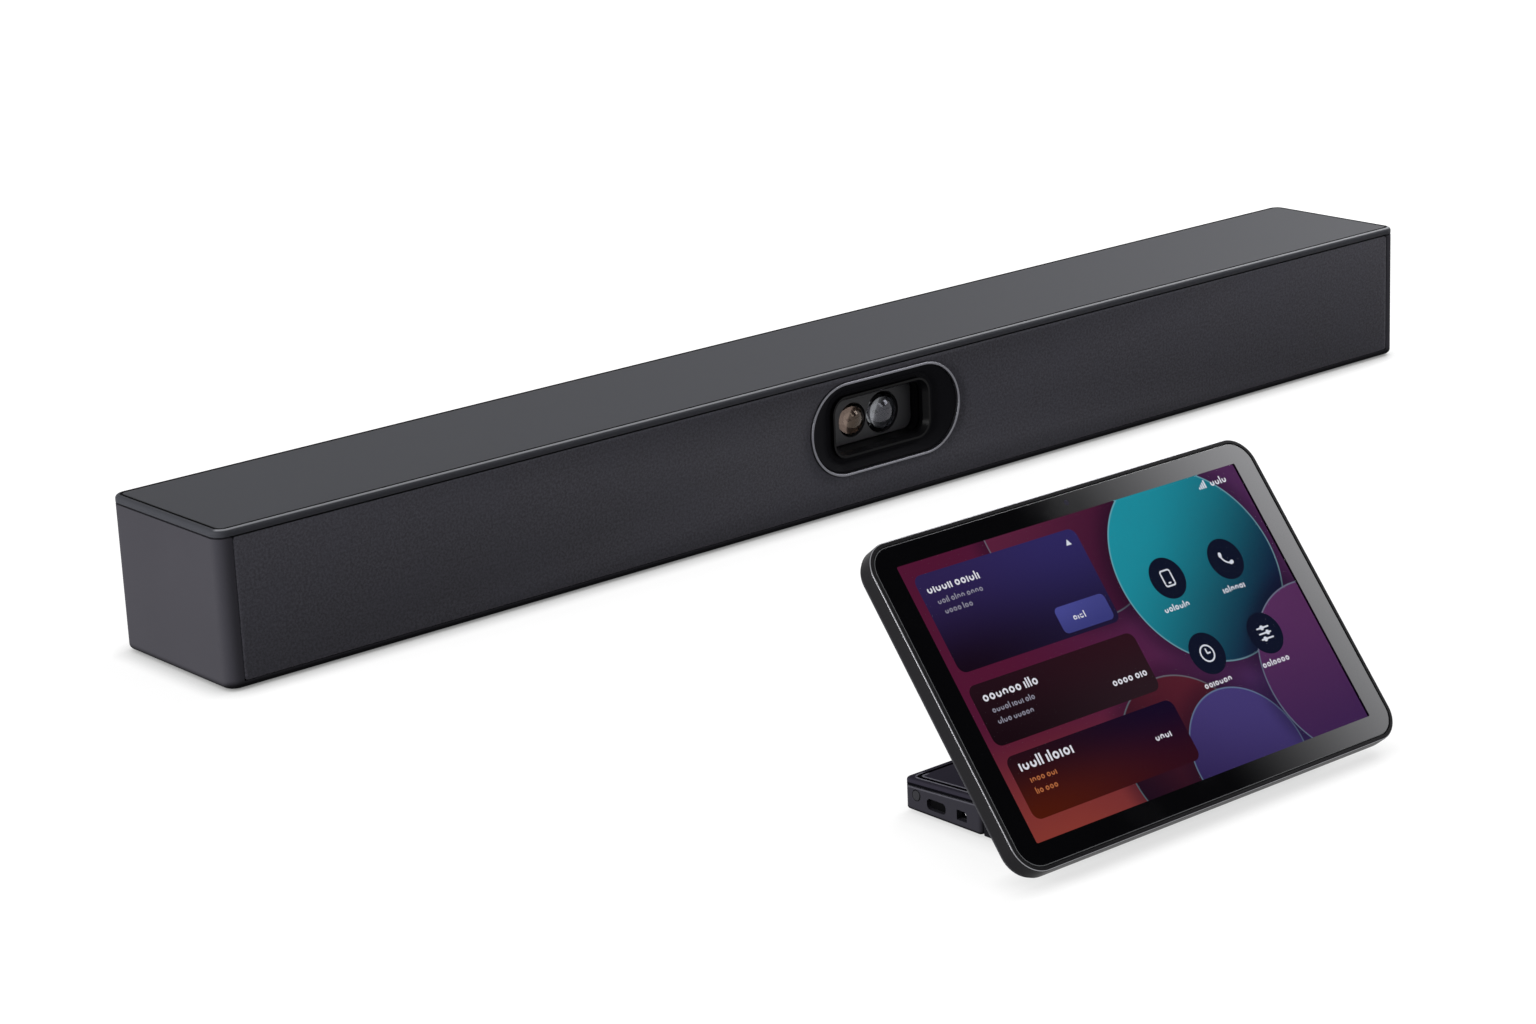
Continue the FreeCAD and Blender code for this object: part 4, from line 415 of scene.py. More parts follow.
def foot_fall(finish):
    """How far a point of the foot lies under its sloped top, in millimetres."""
    low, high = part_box("base_lid")
    x, y, z = finish.axes()
    return (high.z - (y - low.y) * FOOT_SLOPE - z) * (1 / MM)


def foot_painted_light(finish, shade):
    """Painted shade, black, along the bottom, and a painted highlight on the upper edge."""
    x, y, z = finish.axes()
    # Painted highlight on the upper edge, then painted shade along the bottom.
    shade = finish.mix(finish.step(foot_fall(finish), *TRAY_EDGE_HIGHLIGHT), shade, tone(78, 77, 84))
    return finish.mix(finish.step(z, *FOOT_BOTTOM_SHADE), shade, PAINTED_SHADE_TONE)


def lid_painted_light(finish, shade):
    """Painted shade, black, in the lid's groove and under its rim; painted highlights on its
    lips near the lit end.
    """
    low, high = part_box("base_lid")
    x, y, z = finish.axes()
    fall = foot_fall(finish)
    aside = (plan_inset(finish, low, high, LID_CORNER) - LID_GROOVE).size()
    # Painted highlight: the pale lips are drawn only near the lit left end.
    lit_side = finish.step(x, low.x + 9 * MM, low.x + 7 * MM)
    lip_highlight = finish.step(aside, *LID_LIP_HIGHLIGHT_HALF) * lit_side * finish.step(fall, *LID_TOP)
    shade = finish.mix(lip_highlight, shade, tone(112, 111, 120))
    shade = finish.mix(finish.step(aside, *LID_GROOVE_SHADE_HALF), shade, PAINTED_SHADE_TONE)
    return finish.mix(finish.step(fall, *LID_SEAM_SHADE), shade, tone(5, 5, 7))


print("lid groove", LID_GROOVE, "mm inside the lid's edge")

# %% Painted glint in the power jack
PIN_AHEAD, PIN_UP, PIN_RADIUS = 0.4 * MM, 1.7 * MM, (0.8 * MM, 0.65 * MM)


def jack_pin_glint(finish, shade):
    """Tip of the pin in the power jack, painted near white, partly as a glint."""
    low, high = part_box("side_power_jack")
    x, y, z = finish.axes()
    side = y - ((low.y + high.y) / 2 + PIN_AHEAD)
    rise = z - (low.z + PIN_UP)
    from_axis = (side * side + rise * rise) ** 0.5
    return finish.mix(finish.step(from_axis, *PIN_RADIUS), shade, tone(238, 238, 236))


print("pin radius", round(PIN_RADIUS[0] / MM, 2), "mm")

# %% [markdown]
# ## The finishes by name
# With those helpers a finish is one line: its colour, how rough it is, and where it matters
# its grain, the depth of that grain and its shine. Matt black parts get hardly any shine,
# because a white room turns even a little gloss into grey at a low angle.

# %% Shell plastics
shell_plastic = moulded("shell_plastic", tone(64, 63, 68), 0.6, shine=0.015, paint=shell_painted_shade)
cover_plastic = moulded("cover_plastic", tone(55, 56, 61), 0.58, 0.3 * MM, 0.012 * MM, 0.07,
                        cover_painted_light)
grille_plastic = moulded("grille_plastic", tone(24, 24, 27), 0.6)
bay_plastic = moulded("bay_plastic", tone(34, 34, 38), 0.55)
back_plastic = moulded("back_plastic", tone(36, 36, 40), 0.55)
key_plastic = moulded("key_plastic", tone(34, 34, 38), 0.45, 0.2 * MM)
foot_plastic = moulded("foot_plastic", tone(46, 45, 51), 0.55, 0.35 * MM, shine=0.02,
                       paint=foot_painted_light)
lid_plastic = moulded("lid_plastic", tone(46, 44, 53), 0.6, 0.3 * MM, shine=0.0,
                      paint=lid_painted_light)
neck_cast = moulded("neck_cast", tone(23, 23, 27), 0.6, 0.5 * MM, shine=0.01)
print("shell finishes:", len(bpy.data.materials))

# %% Black and soft materials
black_plastic = moulded("black_plastic", tone(9, 9, 11), 0.45, 0.25 * MM, 0.01 * MM, 0.06)
socket_black = moulded("socket_black", tone(14, 14, 16), 0.5, 0.2 * MM, shine=0.2)
jack_plastic = moulded("jack_plastic", tone(12, 12, 14), 0.5, 0.2 * MM, shine=0.1,
                       paint=jack_pin_glint)
port_black = moulded("port_black", tone(4, 4, 5), 0.7, 0.2 * MM, shine=0.02)
dish_black = moulded("dish_black", tone(19, 19, 22), 0.6, 0.25 * MM, 0.01 * MM, 0.02)
hood_black = moulded("hood_black", tone(7, 7, 9), 0.34, 0.2 * MM, 0.006 * MM, 0.08)
plate_black = moulded("plate_black", tone(44, 44, 47), 0.5, 0.25 * MM, shine=0.25)
rubber = moulded("rubber", tone(26, 26, 27), 0.85, 0.6 * MM, 0.04 * MM, 0.2)
foam = moulded("foam", tone(34, 34, 36), 0.95, 0.9 * MM, 0.2 * MM, 0.1)
cone_paper = moulded("cone_paper", tone(42, 40, 38), 0.9, 0.7 * MM, 0.1 * MM, 0.2)
ferrite = moulded("ferrite", tone(48, 47, 47), 0.62, 0.8 * MM, 0.05 * MM, 0.4)
print("with the black and soft ones:", len(bpy.data.materials))

# %% Metals
ring_paint = metal("ring_paint", tone(112, 112, 118), 0.38)
steel = metal("steel", tone(170, 170, 172), 0.3, (0.05, 1, 1))
zinc = metal("zinc", tone(190, 190, 186), 0.34)
sink_metal = metal("sink_metal", tone(70, 72, 76), 0.4, (1, 0.05, 1))
brass = metal("brass", tone(205, 165, 95), 0.28)
tin = metal("tin", tone(196, 196, 192), 0.28, (1, 0.1, 1))
print("with the metals:", len(bpy.data.materials))

# %% [markdown]
# ## Printed boards
# A circuit board is lacquer over copper, green in the bar and the screen and black in the
# foot. Copper tracks lie under the lacquer as slightly lighter lines, so a stepped wave in
# two directions, broken up by a cell pattern, reads as tracks without drawing any.

# %% Boards inside
WAVE_X, WAVE_Y = 2600.0, 2100.0
CELLS_PER_METRE = 160.0


def lacquer(name, ground, track, pad):
    finish = Finish(name, Coat_Weight=0.4, Coat_Roughness=0.12)
    x, y, z = finish.axes()
    cells = finish.node("ShaderNodeTexVoronoi", {"distance": "CHEBYCHEV"},
                        {"Vector": finish.place(), "Scale": CELLS_PER_METRE})
    lanes = finish.step((x * WAVE_X).wave() * (y * WAVE_Y).wave() + cells * 0.6, 0.35, 0.5)
    mask = finish.mix(lanes, ground, track)
    pads = finish.step(cells, 0.09, 0.06)
    finish.set(Base_Color=finish.mix(pads, mask, pad), Roughness=0.5 - 0.2 * pads)
    return finish.bump(lanes, 0.03 * MM, 0.6).material


board_lacquer = lacquer("board_lacquer", tone(18, 66, 44), tone(44, 104, 66),
                        tone(196, 188, 150))
foot_lacquer = lacquer("foot_lacquer", tone(8, 9, 10), tone(18, 19, 21), tone(70, 66, 50))
print("board finishes:", board_lacquer.name, foot_lacquer.name)

# %% [markdown]
# ## The cloth on the front
# The front of the bar is a plain-woven speaker cloth pulled over a slotted panel. Threads of
# two close greys cross over and under, and the yarn is mottled, which is what the eye sees
# from a step away. The weave follows the flat sheet, so plain Object coordinates will do.

# %% Cloth finish
THREAD = 0.5 * MM
CROSSING = 0.35


def weave():
    finish = Finish("woven_cloth", Specular_IOR_Level=0.12, Sheen_Weight=0.12,
                    Sheen_Roughness=0.4)
    x, y, z = finish.axes()
    turn_x = x * (math.pi / THREAD)
    turn_z = z * (math.pi / THREAD)
    weft = turn_z.wave().size() * (1 + CROSSING * (turn_x.wave() * (turn_z * 0.5).wave()))
    warp = turn_x.wave().size() * (1 - CROSSING * (turn_z.wave() * (turn_x * 0.5).wave()))
    height = weft.top(warp)
    mottle = finish.noise(1.1 * MM, 4.0, rough=0.6)
    patch = finish.noise(26 * MM, 2.0)
    yarn = finish.mix(finish.step(mottle, 0.32, 0.68), tone(62, 61, 67), tone(82, 81, 89))
    yarn = finish.mix(finish.step(patch, 0.35, 0.7) * 0.25, yarn, tone(74, 74, 84))
    gap = finish.step(height, 0.95, 0.35) * 0.5
    finish.set(Base_Color=finish.mix(gap, yarn, tone(32, 32, 36)))
    finish.set(Roughness=0.82 + 0.1 * mottle)
    return finish.bump(height, 0.06 * MM, 0.5).material


woven_cloth = weave()
print("thread pitch", round(THREAD / MM, 2), "mm")

# %% [markdown]
# ## Making flat pieces
# Nearly every new piece is a flat plate with round corners. A one-face grid is stretched,
# its corners are bevelled, and the face is extruded with its first copy kept, which closes
# the plate on both sides. Strokes and rings start as one edge that is spun round a centre.

# %% Plates
def thicken(bm, faces, rise):
    """Extrude faces upward and keep the first copy, so that the plate is closed."""
    made = bmesh.ops.extrude_face_region(bm, geom=faces, use_keep_orig=True)
    moved = [item for item in made["geom"] if isinstance(item, bmesh.types.BMVert)]
    bmesh.ops.translate(bm, verts=moved, vec=(0, 0, rise))
    return [item for item in made["geom"] if isinstance(item, bmesh.types.BMFace)]


def outline(bm, x, y, wide, high, radius, level, steps=6, turn=0.0):
    """One face with round corners, and nothing behind it."""
    place = (Matrix.Translation((x, y, level)) @ Matrix.Rotation(turn, 4, "Z")
             @ Matrix.Diagonal((wide, high, 1, 1)))
    before = set(bm.faces)
    made = bmesh.ops.create_grid(bm, x_segments=1, y_segments=1, size=0.5, matrix=place)
    if radius > 0:
        bmesh.ops.bevel(bm, geom=made["verts"], offset=radius, offset_type="OFFSET",
                        segments=steps, profile=0.5, affect="VERTICES", material=-1)
    return [face for face in bm.faces if face not in before][0]


def plate(bm, x, y, wide, high, radius, back, front, steps=6, turn=0.0):
    face = outline(bm, x, y, wide, high, radius, back, steps, turn)
    return thicken(bm, [face], front - back)


print("plates can be drawn")

# %% Discs and strokes
def disc(bm, x, y, radius, back, front, steps):
    place = Matrix.Translation((x, y, back))
    made = bmesh.ops.create_circle(bm, cap_ends=True, segments=steps, radius=radius,
                                   matrix=place)
    return thicken(bm, [made["verts"][0].link_faces[0]], front - back)


def arc(bm, x, y, radius, width, start, sweep, back, front, steps=18):
    """Stroke of even width along part of a circle, or all of it. Angles are in degrees."""
    turn = math.radians(start)
    ends = [bm.verts.new((x + r * math.cos(turn), y + r * math.sin(turn), back))
            for r in (radius - width / 2, radius + width / 2)]
    edge = bm.edges.new(ends)
    before = set(bm.faces)
    bmesh.ops.spin(bm, geom=ends + [edge], cent=(x, y, back), axis=(0, 0, 1),
                   angle=math.radians(sweep), steps=steps, use_merge=sweep == 360)
    return thicken(bm, [face for face in bm.faces if face not in before], front - back)


print("discs and arcs can be drawn")

# %% [markdown]
# ## From a drawing to a piece
# Every drawing ends the same way: doubles are merged, faces turned outwards, the board's
# matrix lays it in place, and the piece is tied to the body that carries it.

# %% Finished pieces
MERGE = 1e-4


def finished(name, bm, board, materials, body, smooth=None):
    """Lay a drawing in place, close it, and hand it to the body that carries it."""
    bmesh.ops.remove_doubles(bm, verts=bm.verts, dist=MERGE)
    bmesh.ops.recalc_face_normals(bm, faces=bm.faces)
    bmesh.ops.transform(bm, matrix=board, verts=bm.verts)
    mesh = bpy.data.meshes.new(name)
    bm.to_mesh(mesh)
    bm.free()
    for material in materials:
        mesh.materials.append(material)
    if smooth:
        mesh.shade_smooth()
        mesh.set_sharp_from_angle(angle=math.radians(smooth))
    made = add(name, mesh)
    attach(made, body)
    print(name, "faces:", len(mesh.polygons))
    return made


def on_screen(name, bm, materials, smooth=None):
    return finished(name, bm, SCREEN_BOARD, materials, "console_screen", smooth)


print("points closer than", MERGE, "mm are merged")

# %% [markdown]
# ## Stretching the cloth
# The sheet has the outline of the solid that it stands for, with an oval hole for the
# camera window. Its edges roll back a little where it is folded round the panel, which
# gives the thin shadow line that a flat plate would lack.

# %% Cloth sheet
cloth_size = (cloth_high - cloth_low) / MM
CLOTH_MIDDLE = (cloth_low.z + cloth_high.z) / 2 / MM
WINDOW_WIDE, WINDOW_HIGH, WINDOW_LEVEL = 92.4, 44.4, 39.8
CLOTH_CORNER, CLOTH_FRONT, CLOTH_THICK = 1.5, -0.02, 0.35
EDGE_ROLL = (0.2, 0.14), (0.2, 0.05)

bm = bmesh.new()
rim = outline(bm, 0, CLOTH_MIDDLE, cloth_size.x, cloth_size.z, CLOTH_CORNER, CLOTH_FRONT)
hole = outline(bm, 0, WINDOW_LEVEL, WINDOW_WIDE, WINDOW_HIGH, WINDOW_HIGH / 2 - 1e-3,
               CLOTH_FRONT, 24)
bmesh.ops.delete(bm, geom=[rim, hole], context="FACES_ONLY")
bmesh.ops.triangle_fill(bm, use_beauty=True, use_dissolve=False, edges=bm.edges[:])
for inset, drop in EDGE_ROLL:
    edge_points = [v for v in bm.verts if v.is_boundary]
    bmesh.ops.inset_region(bm, faces=bm.faces[:], thickness=inset, depth=0,
                           use_boundary=True, use_even_offset=True)
    bmesh.ops.translate(bm, verts=edge_points, vec=(0, 0, -drop))
thicken(bm, bm.faces[:], -CLOTH_THICK)
cloth = finished("front_cloth_sheet", bm, BAR_BOARD, [woven_cloth], "bar", 50)
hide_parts("front_cloth")

# %% Cut of the cloth
print("cut", [round(v, 2) for v in (cloth_size.x, cloth_size.z)], "mm, less the window")

# %% [markdown]
# ## Glass for the lenses
# Each lens is a solid dome of smoky glass. The anti-reflection coat tints what it mirrors, so
# the specular tint is a cool violet on the main lens and amber on the side lens, and the
# barrel behind stays black.

# %% Lens glass
def lens_glass(name, tint, specular_tint):
    finish = Finish(name, Transmission_Weight=1.0, IOR=1.52, Specular_Tint=specular_tint)
    haze = finish.noise(6 * MM, 2.0)
    finish.set(Base_Color=finish.mix(haze, tint, darker(tint, 0.94)))
    return finish.set(Roughness=0.01 + 0.02 * haze).material


main_glass = lens_glass("main_glass", tone(118, 120, 124), tone(236, 236, 250))
side_glass = lens_glass("side_glass", tone(110, 95, 87), tone(250, 226, 206))
print("lens finishes:", main_glass.name, side_glass.name)

# %% [markdown]
# ## The picture on the screen
# The display shows a calm abstract ground with soft overlapping discs in crimson, teal and
# indigo. It glows by itself, so the colours go to Emission Color and the base stays black.
# Every disc is a distance from a centre, softened at its rim, with a faint light edge.

# %% Places on the picture
PICTURE_WIDE, PICTURE_HIGH, PICTURE_MIDDLE = 172.2, 107.6, 48.3
PICTURE_FRONT = 14.05


def across(share):
    return (share - 0.5) * PICTURE_WIDE


def down(share):
    return PICTURE_MIDDLE + (0.5 - share) * PICTURE_HIGH


def glow(name):
    return Finish(name, Base_Color=BLACK, Roughness=0.6, Specular_IOR_Level=0.0,
                  Emission_Strength=1.0)


print("picture", PICTURE_WIDE, "by", PICTURE_HIGH, "mm")

# %% Discs of the ground
# Each disc: centre across and down, radius, light and dark tone, lean of the light, rim.
DISCS = (
    (0.47, 0.02, 38, tone(92, 34, 58), tone(60, 20, 44), 2.4, 0.2),
    (0.50, 0.92, 32, tone(84, 30, 40), tone(30, 13, 24), 0.6, 0.2),
    (0.76, 0.30, 39, tone(28, 146, 160), tone(16, 26, 54), 2.3, 0.45),
    (0.64, 0.98, 27, tone(68, 58, 114), tone(40, 30, 70), 1.2, 0.25),
    (0.99, 0.80, 36, tone(86, 46, 88), tone(58, 34, 76), 1.6, 0.25),
)
DISC_SHADOW = (-9.0, 0.0)
DISC_EDGE = (-0.15, 0.15)
DISC_RIM = (-0.2, 0.1), (0.75, 0.2)


def lay_disc(finish, under, dx, dy, radius, light, dark, lean, rim):
    """Lay one disc over what is under it, with its shadow, its slope of light and its rim."""
    inside = radius - (dx * dx + dy * dy) ** 0.5
    slope = finish.step(dx * math.cos(lean) + dy * math.sin(lean), -radius, radius)
    shadow = finish.mix(finish.step(inside, *DISC_SHADOW) * 0.45, under, tone(18, 12, 26))
    paint = finish.mix(slope, dark, light)
    laid = finish.mix(finish.step(inside, *DISC_EDGE), shadow, paint)
    return finish.mix(finish.band(inside, *DISC_RIM) * rim, laid, tone(150, 196, 206))


print("discs:", len(DISCS))

# %% Picture ground
def picture_ground():
    finish = glow("picture_ground")
    x, y, out = finish.board_axes()
    u = x / PICTURE_WIDE + 0.5
    v = 0.5 - (y - PICTURE_MIDDLE) / PICTURE_HIGH
    warm = finish.step(v, 0.55, 1.05) * finish.step(u, 0.75, 0.1)
    cool = finish.step(v, 0.55, 1.0) * finish.step(u, 0.45, 0.85)
    ground = finish.mix(finish.step(u, 0.1, 0.95), tone(82, 22, 48), tone(78, 42, 82))
    ground = finish.mix(warm, ground, tone(134, 56, 46))
    ground = finish.mix(cool, ground, tone(66, 52, 108))
    for cx, cy, *look in DISCS:
        ground = lay_disc(finish, ground, x - across(cx), y - down(cy), *look)
    fine = finish.noise(40 * MM, 3.0)
    return finish.set(Emission_Color=finish.mix(fine * 0.2, ground, tone(40, 24, 52))).material


PANEL_RIM, PANEL_CORNER, PANEL_THICK, PANEL_LIP = 6, 1.0, 2.4, 2.6
display_frame = metal("display_frame", tone(120, 120, 122), 0.4)
bm = bmesh.new()
back = outline(bm, 0, PICTURE_MIDDLE, PICTURE_WIDE + PANEL_RIM, PICTURE_HIGH + PANEL_RIM,
               PANEL_CORNER, PICTURE_FRONT - PANEL_THICK)
front = thicken(bm, [back], PANEL_THICK)
bmesh.ops.inset_region(bm, faces=front, thickness=PANEL_LIP, depth=0)
front[0].material_index = 1
picture = on_screen("display_panel", bm, [display_frame, picture_ground()])
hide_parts("picture_panel")

# %% [markdown]
# ## Cards on the picture
# The layout has a column of three cards, each with four corner colours blended over it. The
# cards are thin plates stacked a hair apart on the display, so that their edges stay sharp
# however close one looks, which a painted pattern could not promise.

# %% Cards
CARD_BACK = PICTURE_FRONT + 0.01
CARD_FRONT = PICTURE_FRONT + 0.05
CARD_CORNER = 3.4


def card_glow(name, box, top_left, top_right, low_left, low_right):
    """Four corner colours blended over a card."""
    finish = glow(name)
    x, y, out = finish.board_axes()
    left, right, top, bottom = box
    side = finish.step(x, across(left), across(right))
    fall = finish.step(y, down(top), down(bottom))
    upper = finish.mix(side, top_left, top_right)
    lower = finish.mix(side, low_left, low_right)
    return finish.set(Emission_Color=finish.mix(fall, upper, lower)).material


# Each card: its left, right, top and bottom share of the picture, then its corner tones.
CARDS = {
    "first_card": ((0.03, 0.49, 0.045, 0.40), tone(44, 34, 76), tone(46, 40, 92),
                   tone(22, 11, 24), tone(30, 24, 52)),
    "second_card": ((0.026, 0.5, 0.447, 0.665), tone(34, 16, 24), tone(44, 20, 28),
                    tone(24, 11, 17), tone(40, 26, 32)),
    "third_card": ((0.03, 0.51, 0.705, 0.93), tone(36, 14, 22), tone(22, 12, 36),
                   tone(74, 24, 12), tone(46, 14, 26)),
}
for name, (box, *tones) in CARDS.items():
    left, right, top, bottom = box
    bm = bmesh.new()
    plate(bm, across((left + right) / 2), down((top + bottom) / 2),
          (right - left) * PICTURE_WIDE, (bottom - top) * PICTURE_HIGH, CARD_CORNER,
          CARD_BACK, CARD_FRONT)
    on_screen(name, bm, [card_glow(name, box, *tones)])

# %% [markdown]
# ## Keys and a button
# Four round keys and one button are plates as well. The keys share one mesh, because they
# are one layer of light.

# %% Keys and a button
KEY_PLACES = [(a, b) for b in (0.313, 0.603) for a in (0.665, 0.845)]
KEY_RADIUS = 8.3
BUTTON_BOX = (0.33, 0.48, 0.29, 0.39)
MARK_BACK = CARD_FRONT + 0.01
MARK_FRONT = PICTURE_FRONT + 0.09


def plain_glow(name, colour):
    finish = glow(name)
    mottle = finish.noise(3 * MM, 2.0)
    return finish.set(Emission_Color=finish.mix(mottle, darker(colour, 0.9), colour)).material


bm = bmesh.new()
for a, b in KEY_PLACES:
    disc(bm, across(a), down(b), KEY_RADIUS, CARD_BACK, CARD_FRONT, 48)
on_screen("round_keys", bm, [plain_glow("key_glow", tone(17, 22, 40))])

bm = bmesh.new()
plate(bm, across(0.405), down(0.338), 25, 10.4, 2.2, MARK_BACK, MARK_FRONT)
button_glow = card_glow("button_glow", BUTTON_BOX, tone(70, 72, 140), tone(64, 66, 128),
                        tone(58, 60, 120), tone(56, 58, 118))
on_screen("card_button", bm, [button_glow])

# %% [markdown]
# ## Greeked words
# Words are only hinted at: each is a row of small upright marks, as a designer greeks text
# in a layout. Marks of one tone share a mesh, and a fixed seed keeps the rows the same.

# %% Marks
SEED = 11
PEN, LOW_MARK, MARK_GAP, WORD_GAP = 0.19, 0.7, 0.17, 0.3
MARK_KINDS = ("ring", "ring", "arch", "cup", "post", "tall")
MARK_ARCS = {"ring": (0, 360), "arch": (-50, 280), "cup": (130, 280)}
draw = random.Random(SEED)


def mark(bm, x, y, height):
    """One stand-in for a letter: a ring, an arch, a cup or a post. Gives its width."""
    kind = draw.choice(MARK_KINDS)
    pen = PEN * height
    low = LOW_MARK * height
    if kind in ("post", "tall"):
        tall = height if kind == "tall" else low
        plate(bm, x + pen / 2, y + tall / 2, pen, tall, 0, MARK_BACK, MARK_FRONT)
        return pen
    arc(bm, x + low / 2, y + low / 2, low / 2 - pen / 2, pen, *MARK_ARCS[kind],
        MARK_BACK, MARK_FRONT, 12)
    return low


def words(bm, share_x, share_y, lengths, height):
    """Rows of marks that stand for words of these lengths, from their left end."""
    x = across(share_x)
    for letters in lengths:
        for _ in range(letters):
            x += mark(bm, x, down(share_y), height) + MARK_GAP * height
        x += WORD_GAP * height


print("kinds of mark:", len(set(MARK_KINDS)))

# %% Rows of words
# Each row: its left end and its level on the picture, the words' lengths, their height.
BRIGHT_ROWS = (
    (0.05, 0.115, (6, 6), 3.3),
    (0.052, 0.512, (6, 4), 3.6),
    (0.055, 0.765, (5, 6), 4.2),
    (0.385, 0.605, (4, 3), 3.0),
    (0.42, 0.825, (4,), 2.8),
    (0.372, 0.35, (4,), 2.6),
)
DIM_ROWS = (
    (0.062, 0.158, (4, 4, 4), 2.3),
    (0.068, 0.195, (4, 3), 2.3),
    (0.06, 0.555, (5, 4, 3), 2.3),
    (0.06, 0.595, (4, 5), 2.3),
)
AMBER_ROWS = (
    (0.066, 0.81, (4, 3), 2.4),
    (0.066, 0.85, (3, 3), 2.4),
)

bm = bmesh.new()
for row in BRIGHT_ROWS:
    words(bm, *row)
for a, b in KEY_PLACES:
    words(bm, a - 0.052, b + 0.115, (draw.choice((6, 7)),), 2.6)
words(bm, 0.912, 0.052, (4,), 3.0)
on_screen("bright_words", bm, [plain_glow("word_glow", tone(222, 222, 228))])

for name, light, colour, rows in (
        ("dim_words", "dim_glow", tone(140, 138, 152), DIM_ROWS),
        ("amber_words", "amber_glow", tone(178, 104, 62), AMBER_ROWS)):
    bm = bmesh.new()
    for row in rows:
        words(bm, *row)
    on_screen(name, bm, [plain_glow(light, colour)])

# %% [markdown]
# ## Signs on the keys
# The signs are plain strokes: a tablet, a handset, a clock and three sliders. Status bars and
# a small arrow head finish the layout. Straight strokes are plates with round ends, and bent
# ones are arcs of the same width.

# %% Strokes
STROKE = 0.62
SIGN_FRONT = PICTURE_FRONT + 0.12
UPRIGHT = 90


def stroke(bm, x, y, length, angle=0.0, width=STROKE):
    plate(bm, x, y, length, width, width * 0.45, MARK_BACK, SIGN_FRONT, 3,
          math.radians(angle))


def curve(bm, x, y, radius, start, sweep):
    arc(bm, x, y, radius, STROKE, start, sweep, MARK_BACK, SIGN_FRONT)


print("strokes", STROKE, "mm wide")

# %% Tablet and handset
TABLET_HALF_WIDE, TABLET_HALF_HIGH, TABLET_CORNER = 2.4, 3.1, 0.9
tablet, handset, clock, sliders = [(across(a), down(b)) for a, b in KEY_PLACES]
corner_x, corner_y = TABLET_HALF_WIDE - TABLET_CORNER, TABLET_HALF_HIGH - TABLET_CORNER

bm = bmesh.new()
x, y = tablet
for side in (-1, 1):
    stroke(bm, x + side * TABLET_HALF_WIDE, y, 4.2, UPRIGHT)
    stroke(bm, x, y + side * TABLET_HALF_HIGH, 3.2)
    for up in (-1, 1):
        start = {(1, 1): 0, (-1, 1): 90, (-1, -1): 180, (1, -1): 270}[(side, up)]
        curve(bm, x + side * corner_x, y + up * corner_y, TABLET_CORNER, start, 90)
stroke(bm, x, y - 1.9, 1.4)
x, y = handset
curve(bm, x + 2.2, y + 2.2, 4.2, 180, 90)
stroke(bm, x - 1.8, y + 2.0, 2.2, 75, 1.5)
stroke(bm, x + 2.0, y - 1.8, 2.2, 15, 1.5)
print("tablet and handset:", len(bm.faces), "faces")

# %% Clock, sliders, status bars and arrow head
SLIDER_SHIFTS, SLIDER_PITCH = (-1.2, 1.4, -0.4), 2.2
BAR_COUNT, BAR_PITCH, BAR_WIDE, BAR_FIRST, BAR_GROWTH = 4, 1.05, 0.7, 1.0, 0.75
ARROW_PLACE, ARROW_RADIUS = (across(0.457), down(0.092)), 1.5

x, y = clock
curve(bm, x, y, 3.2, 0, 360)
stroke(bm, x, y + 0.9, 2.2, UPRIGHT)
stroke(bm, x + 0.8, y, 1.9)
x, y = sliders
for i, shift in enumerate(SLIDER_SHIFTS):
    level = y + SLIDER_PITCH * (i - 1)
    stroke(bm, x, level, 6.4)
    disc(bm, x + shift, level, 0.95, MARK_BACK, SIGN_FRONT, 20)
for i in range(BAR_COUNT):
    tall = BAR_FIRST + BAR_GROWTH * i
    plate(bm, across(0.877) + BAR_PITCH * i, down(0.052) + tall / 2, BAR_WIDE, tall, 0.2,
          MARK_BACK, SIGN_FRONT, 2)
disc(bm, *ARROW_PLACE, ARROW_RADIUS, MARK_BACK, SIGN_FRONT, 3)
on_screen("signs", bm, [plain_glow("sign_glow", tone(214, 218, 226))])

# %% [markdown]
# ## Finishes of the screen
# The screen's frame is a dark satin metal whose front outer edge is cut bright. The glass in
# it is printed black on the inside along its border, so it reads as a deep gloss, its ground
# edge is grey, and the window over the picture has an anti-reflection coat.

# %% Frame finish
FRAME_WIDE, FRAME_HIGH, FRAME_CORNER, FRAME_FRONT = 195.0, 127.6, 11.0, 15.5
CUT_DEPTH, CUT_INSET = (FRAME_FRONT - 0.4, FRAME_FRONT - 0.3), (0.4, 0.3)


def frame_finish():
    """Dark satin frame whose front outer edge is cut bright."""
    finish = Finish("frame_gloss", Specular_IOR_Level=0.05)
    x, y, out = finish.board_axes()
    inset = finish.inset(x, y - PICTURE_MIDDLE, FRAME_WIDE / 2, FRAME_HIGH / 2, FRAME_CORNER)
    cut = finish.step(out, *CUT_DEPTH) * finish.step(inset, *CUT_INSET)
    blast = finish.noise(0.25 * MM, 2.0)
    dark = finish.mix(blast, tone(20, 20, 21), tone(29, 28, 31))
    finish.set(Base_Color=finish.mix(cut, dark, tone(140, 140, 144)), Metallic=cut * 0.9)
    finish.set(Roughness=0.3 + 0.1 * blast - 0.1 * cut)
    return finish.bump(blast, 0.006 * MM, 0.4).material


frame_gloss = frame_finish()
print("frame", FRAME_WIDE, "by", FRAME_HIGH, "mm")

# %% Glass finishes
SMEAR_SIZE = 22 * MM


def glass_edge():
    finish = Finish("glass_edge", IOR=1.5)
    chips = finish.noise(0.4 * MM, 3.0)
    finish.set(Base_Color=finish.mix(chips, tone(84, 85, 88), tone(116, 118, 122)))
    return finish.set(Roughness=0.2 + 0.2 * chips).material


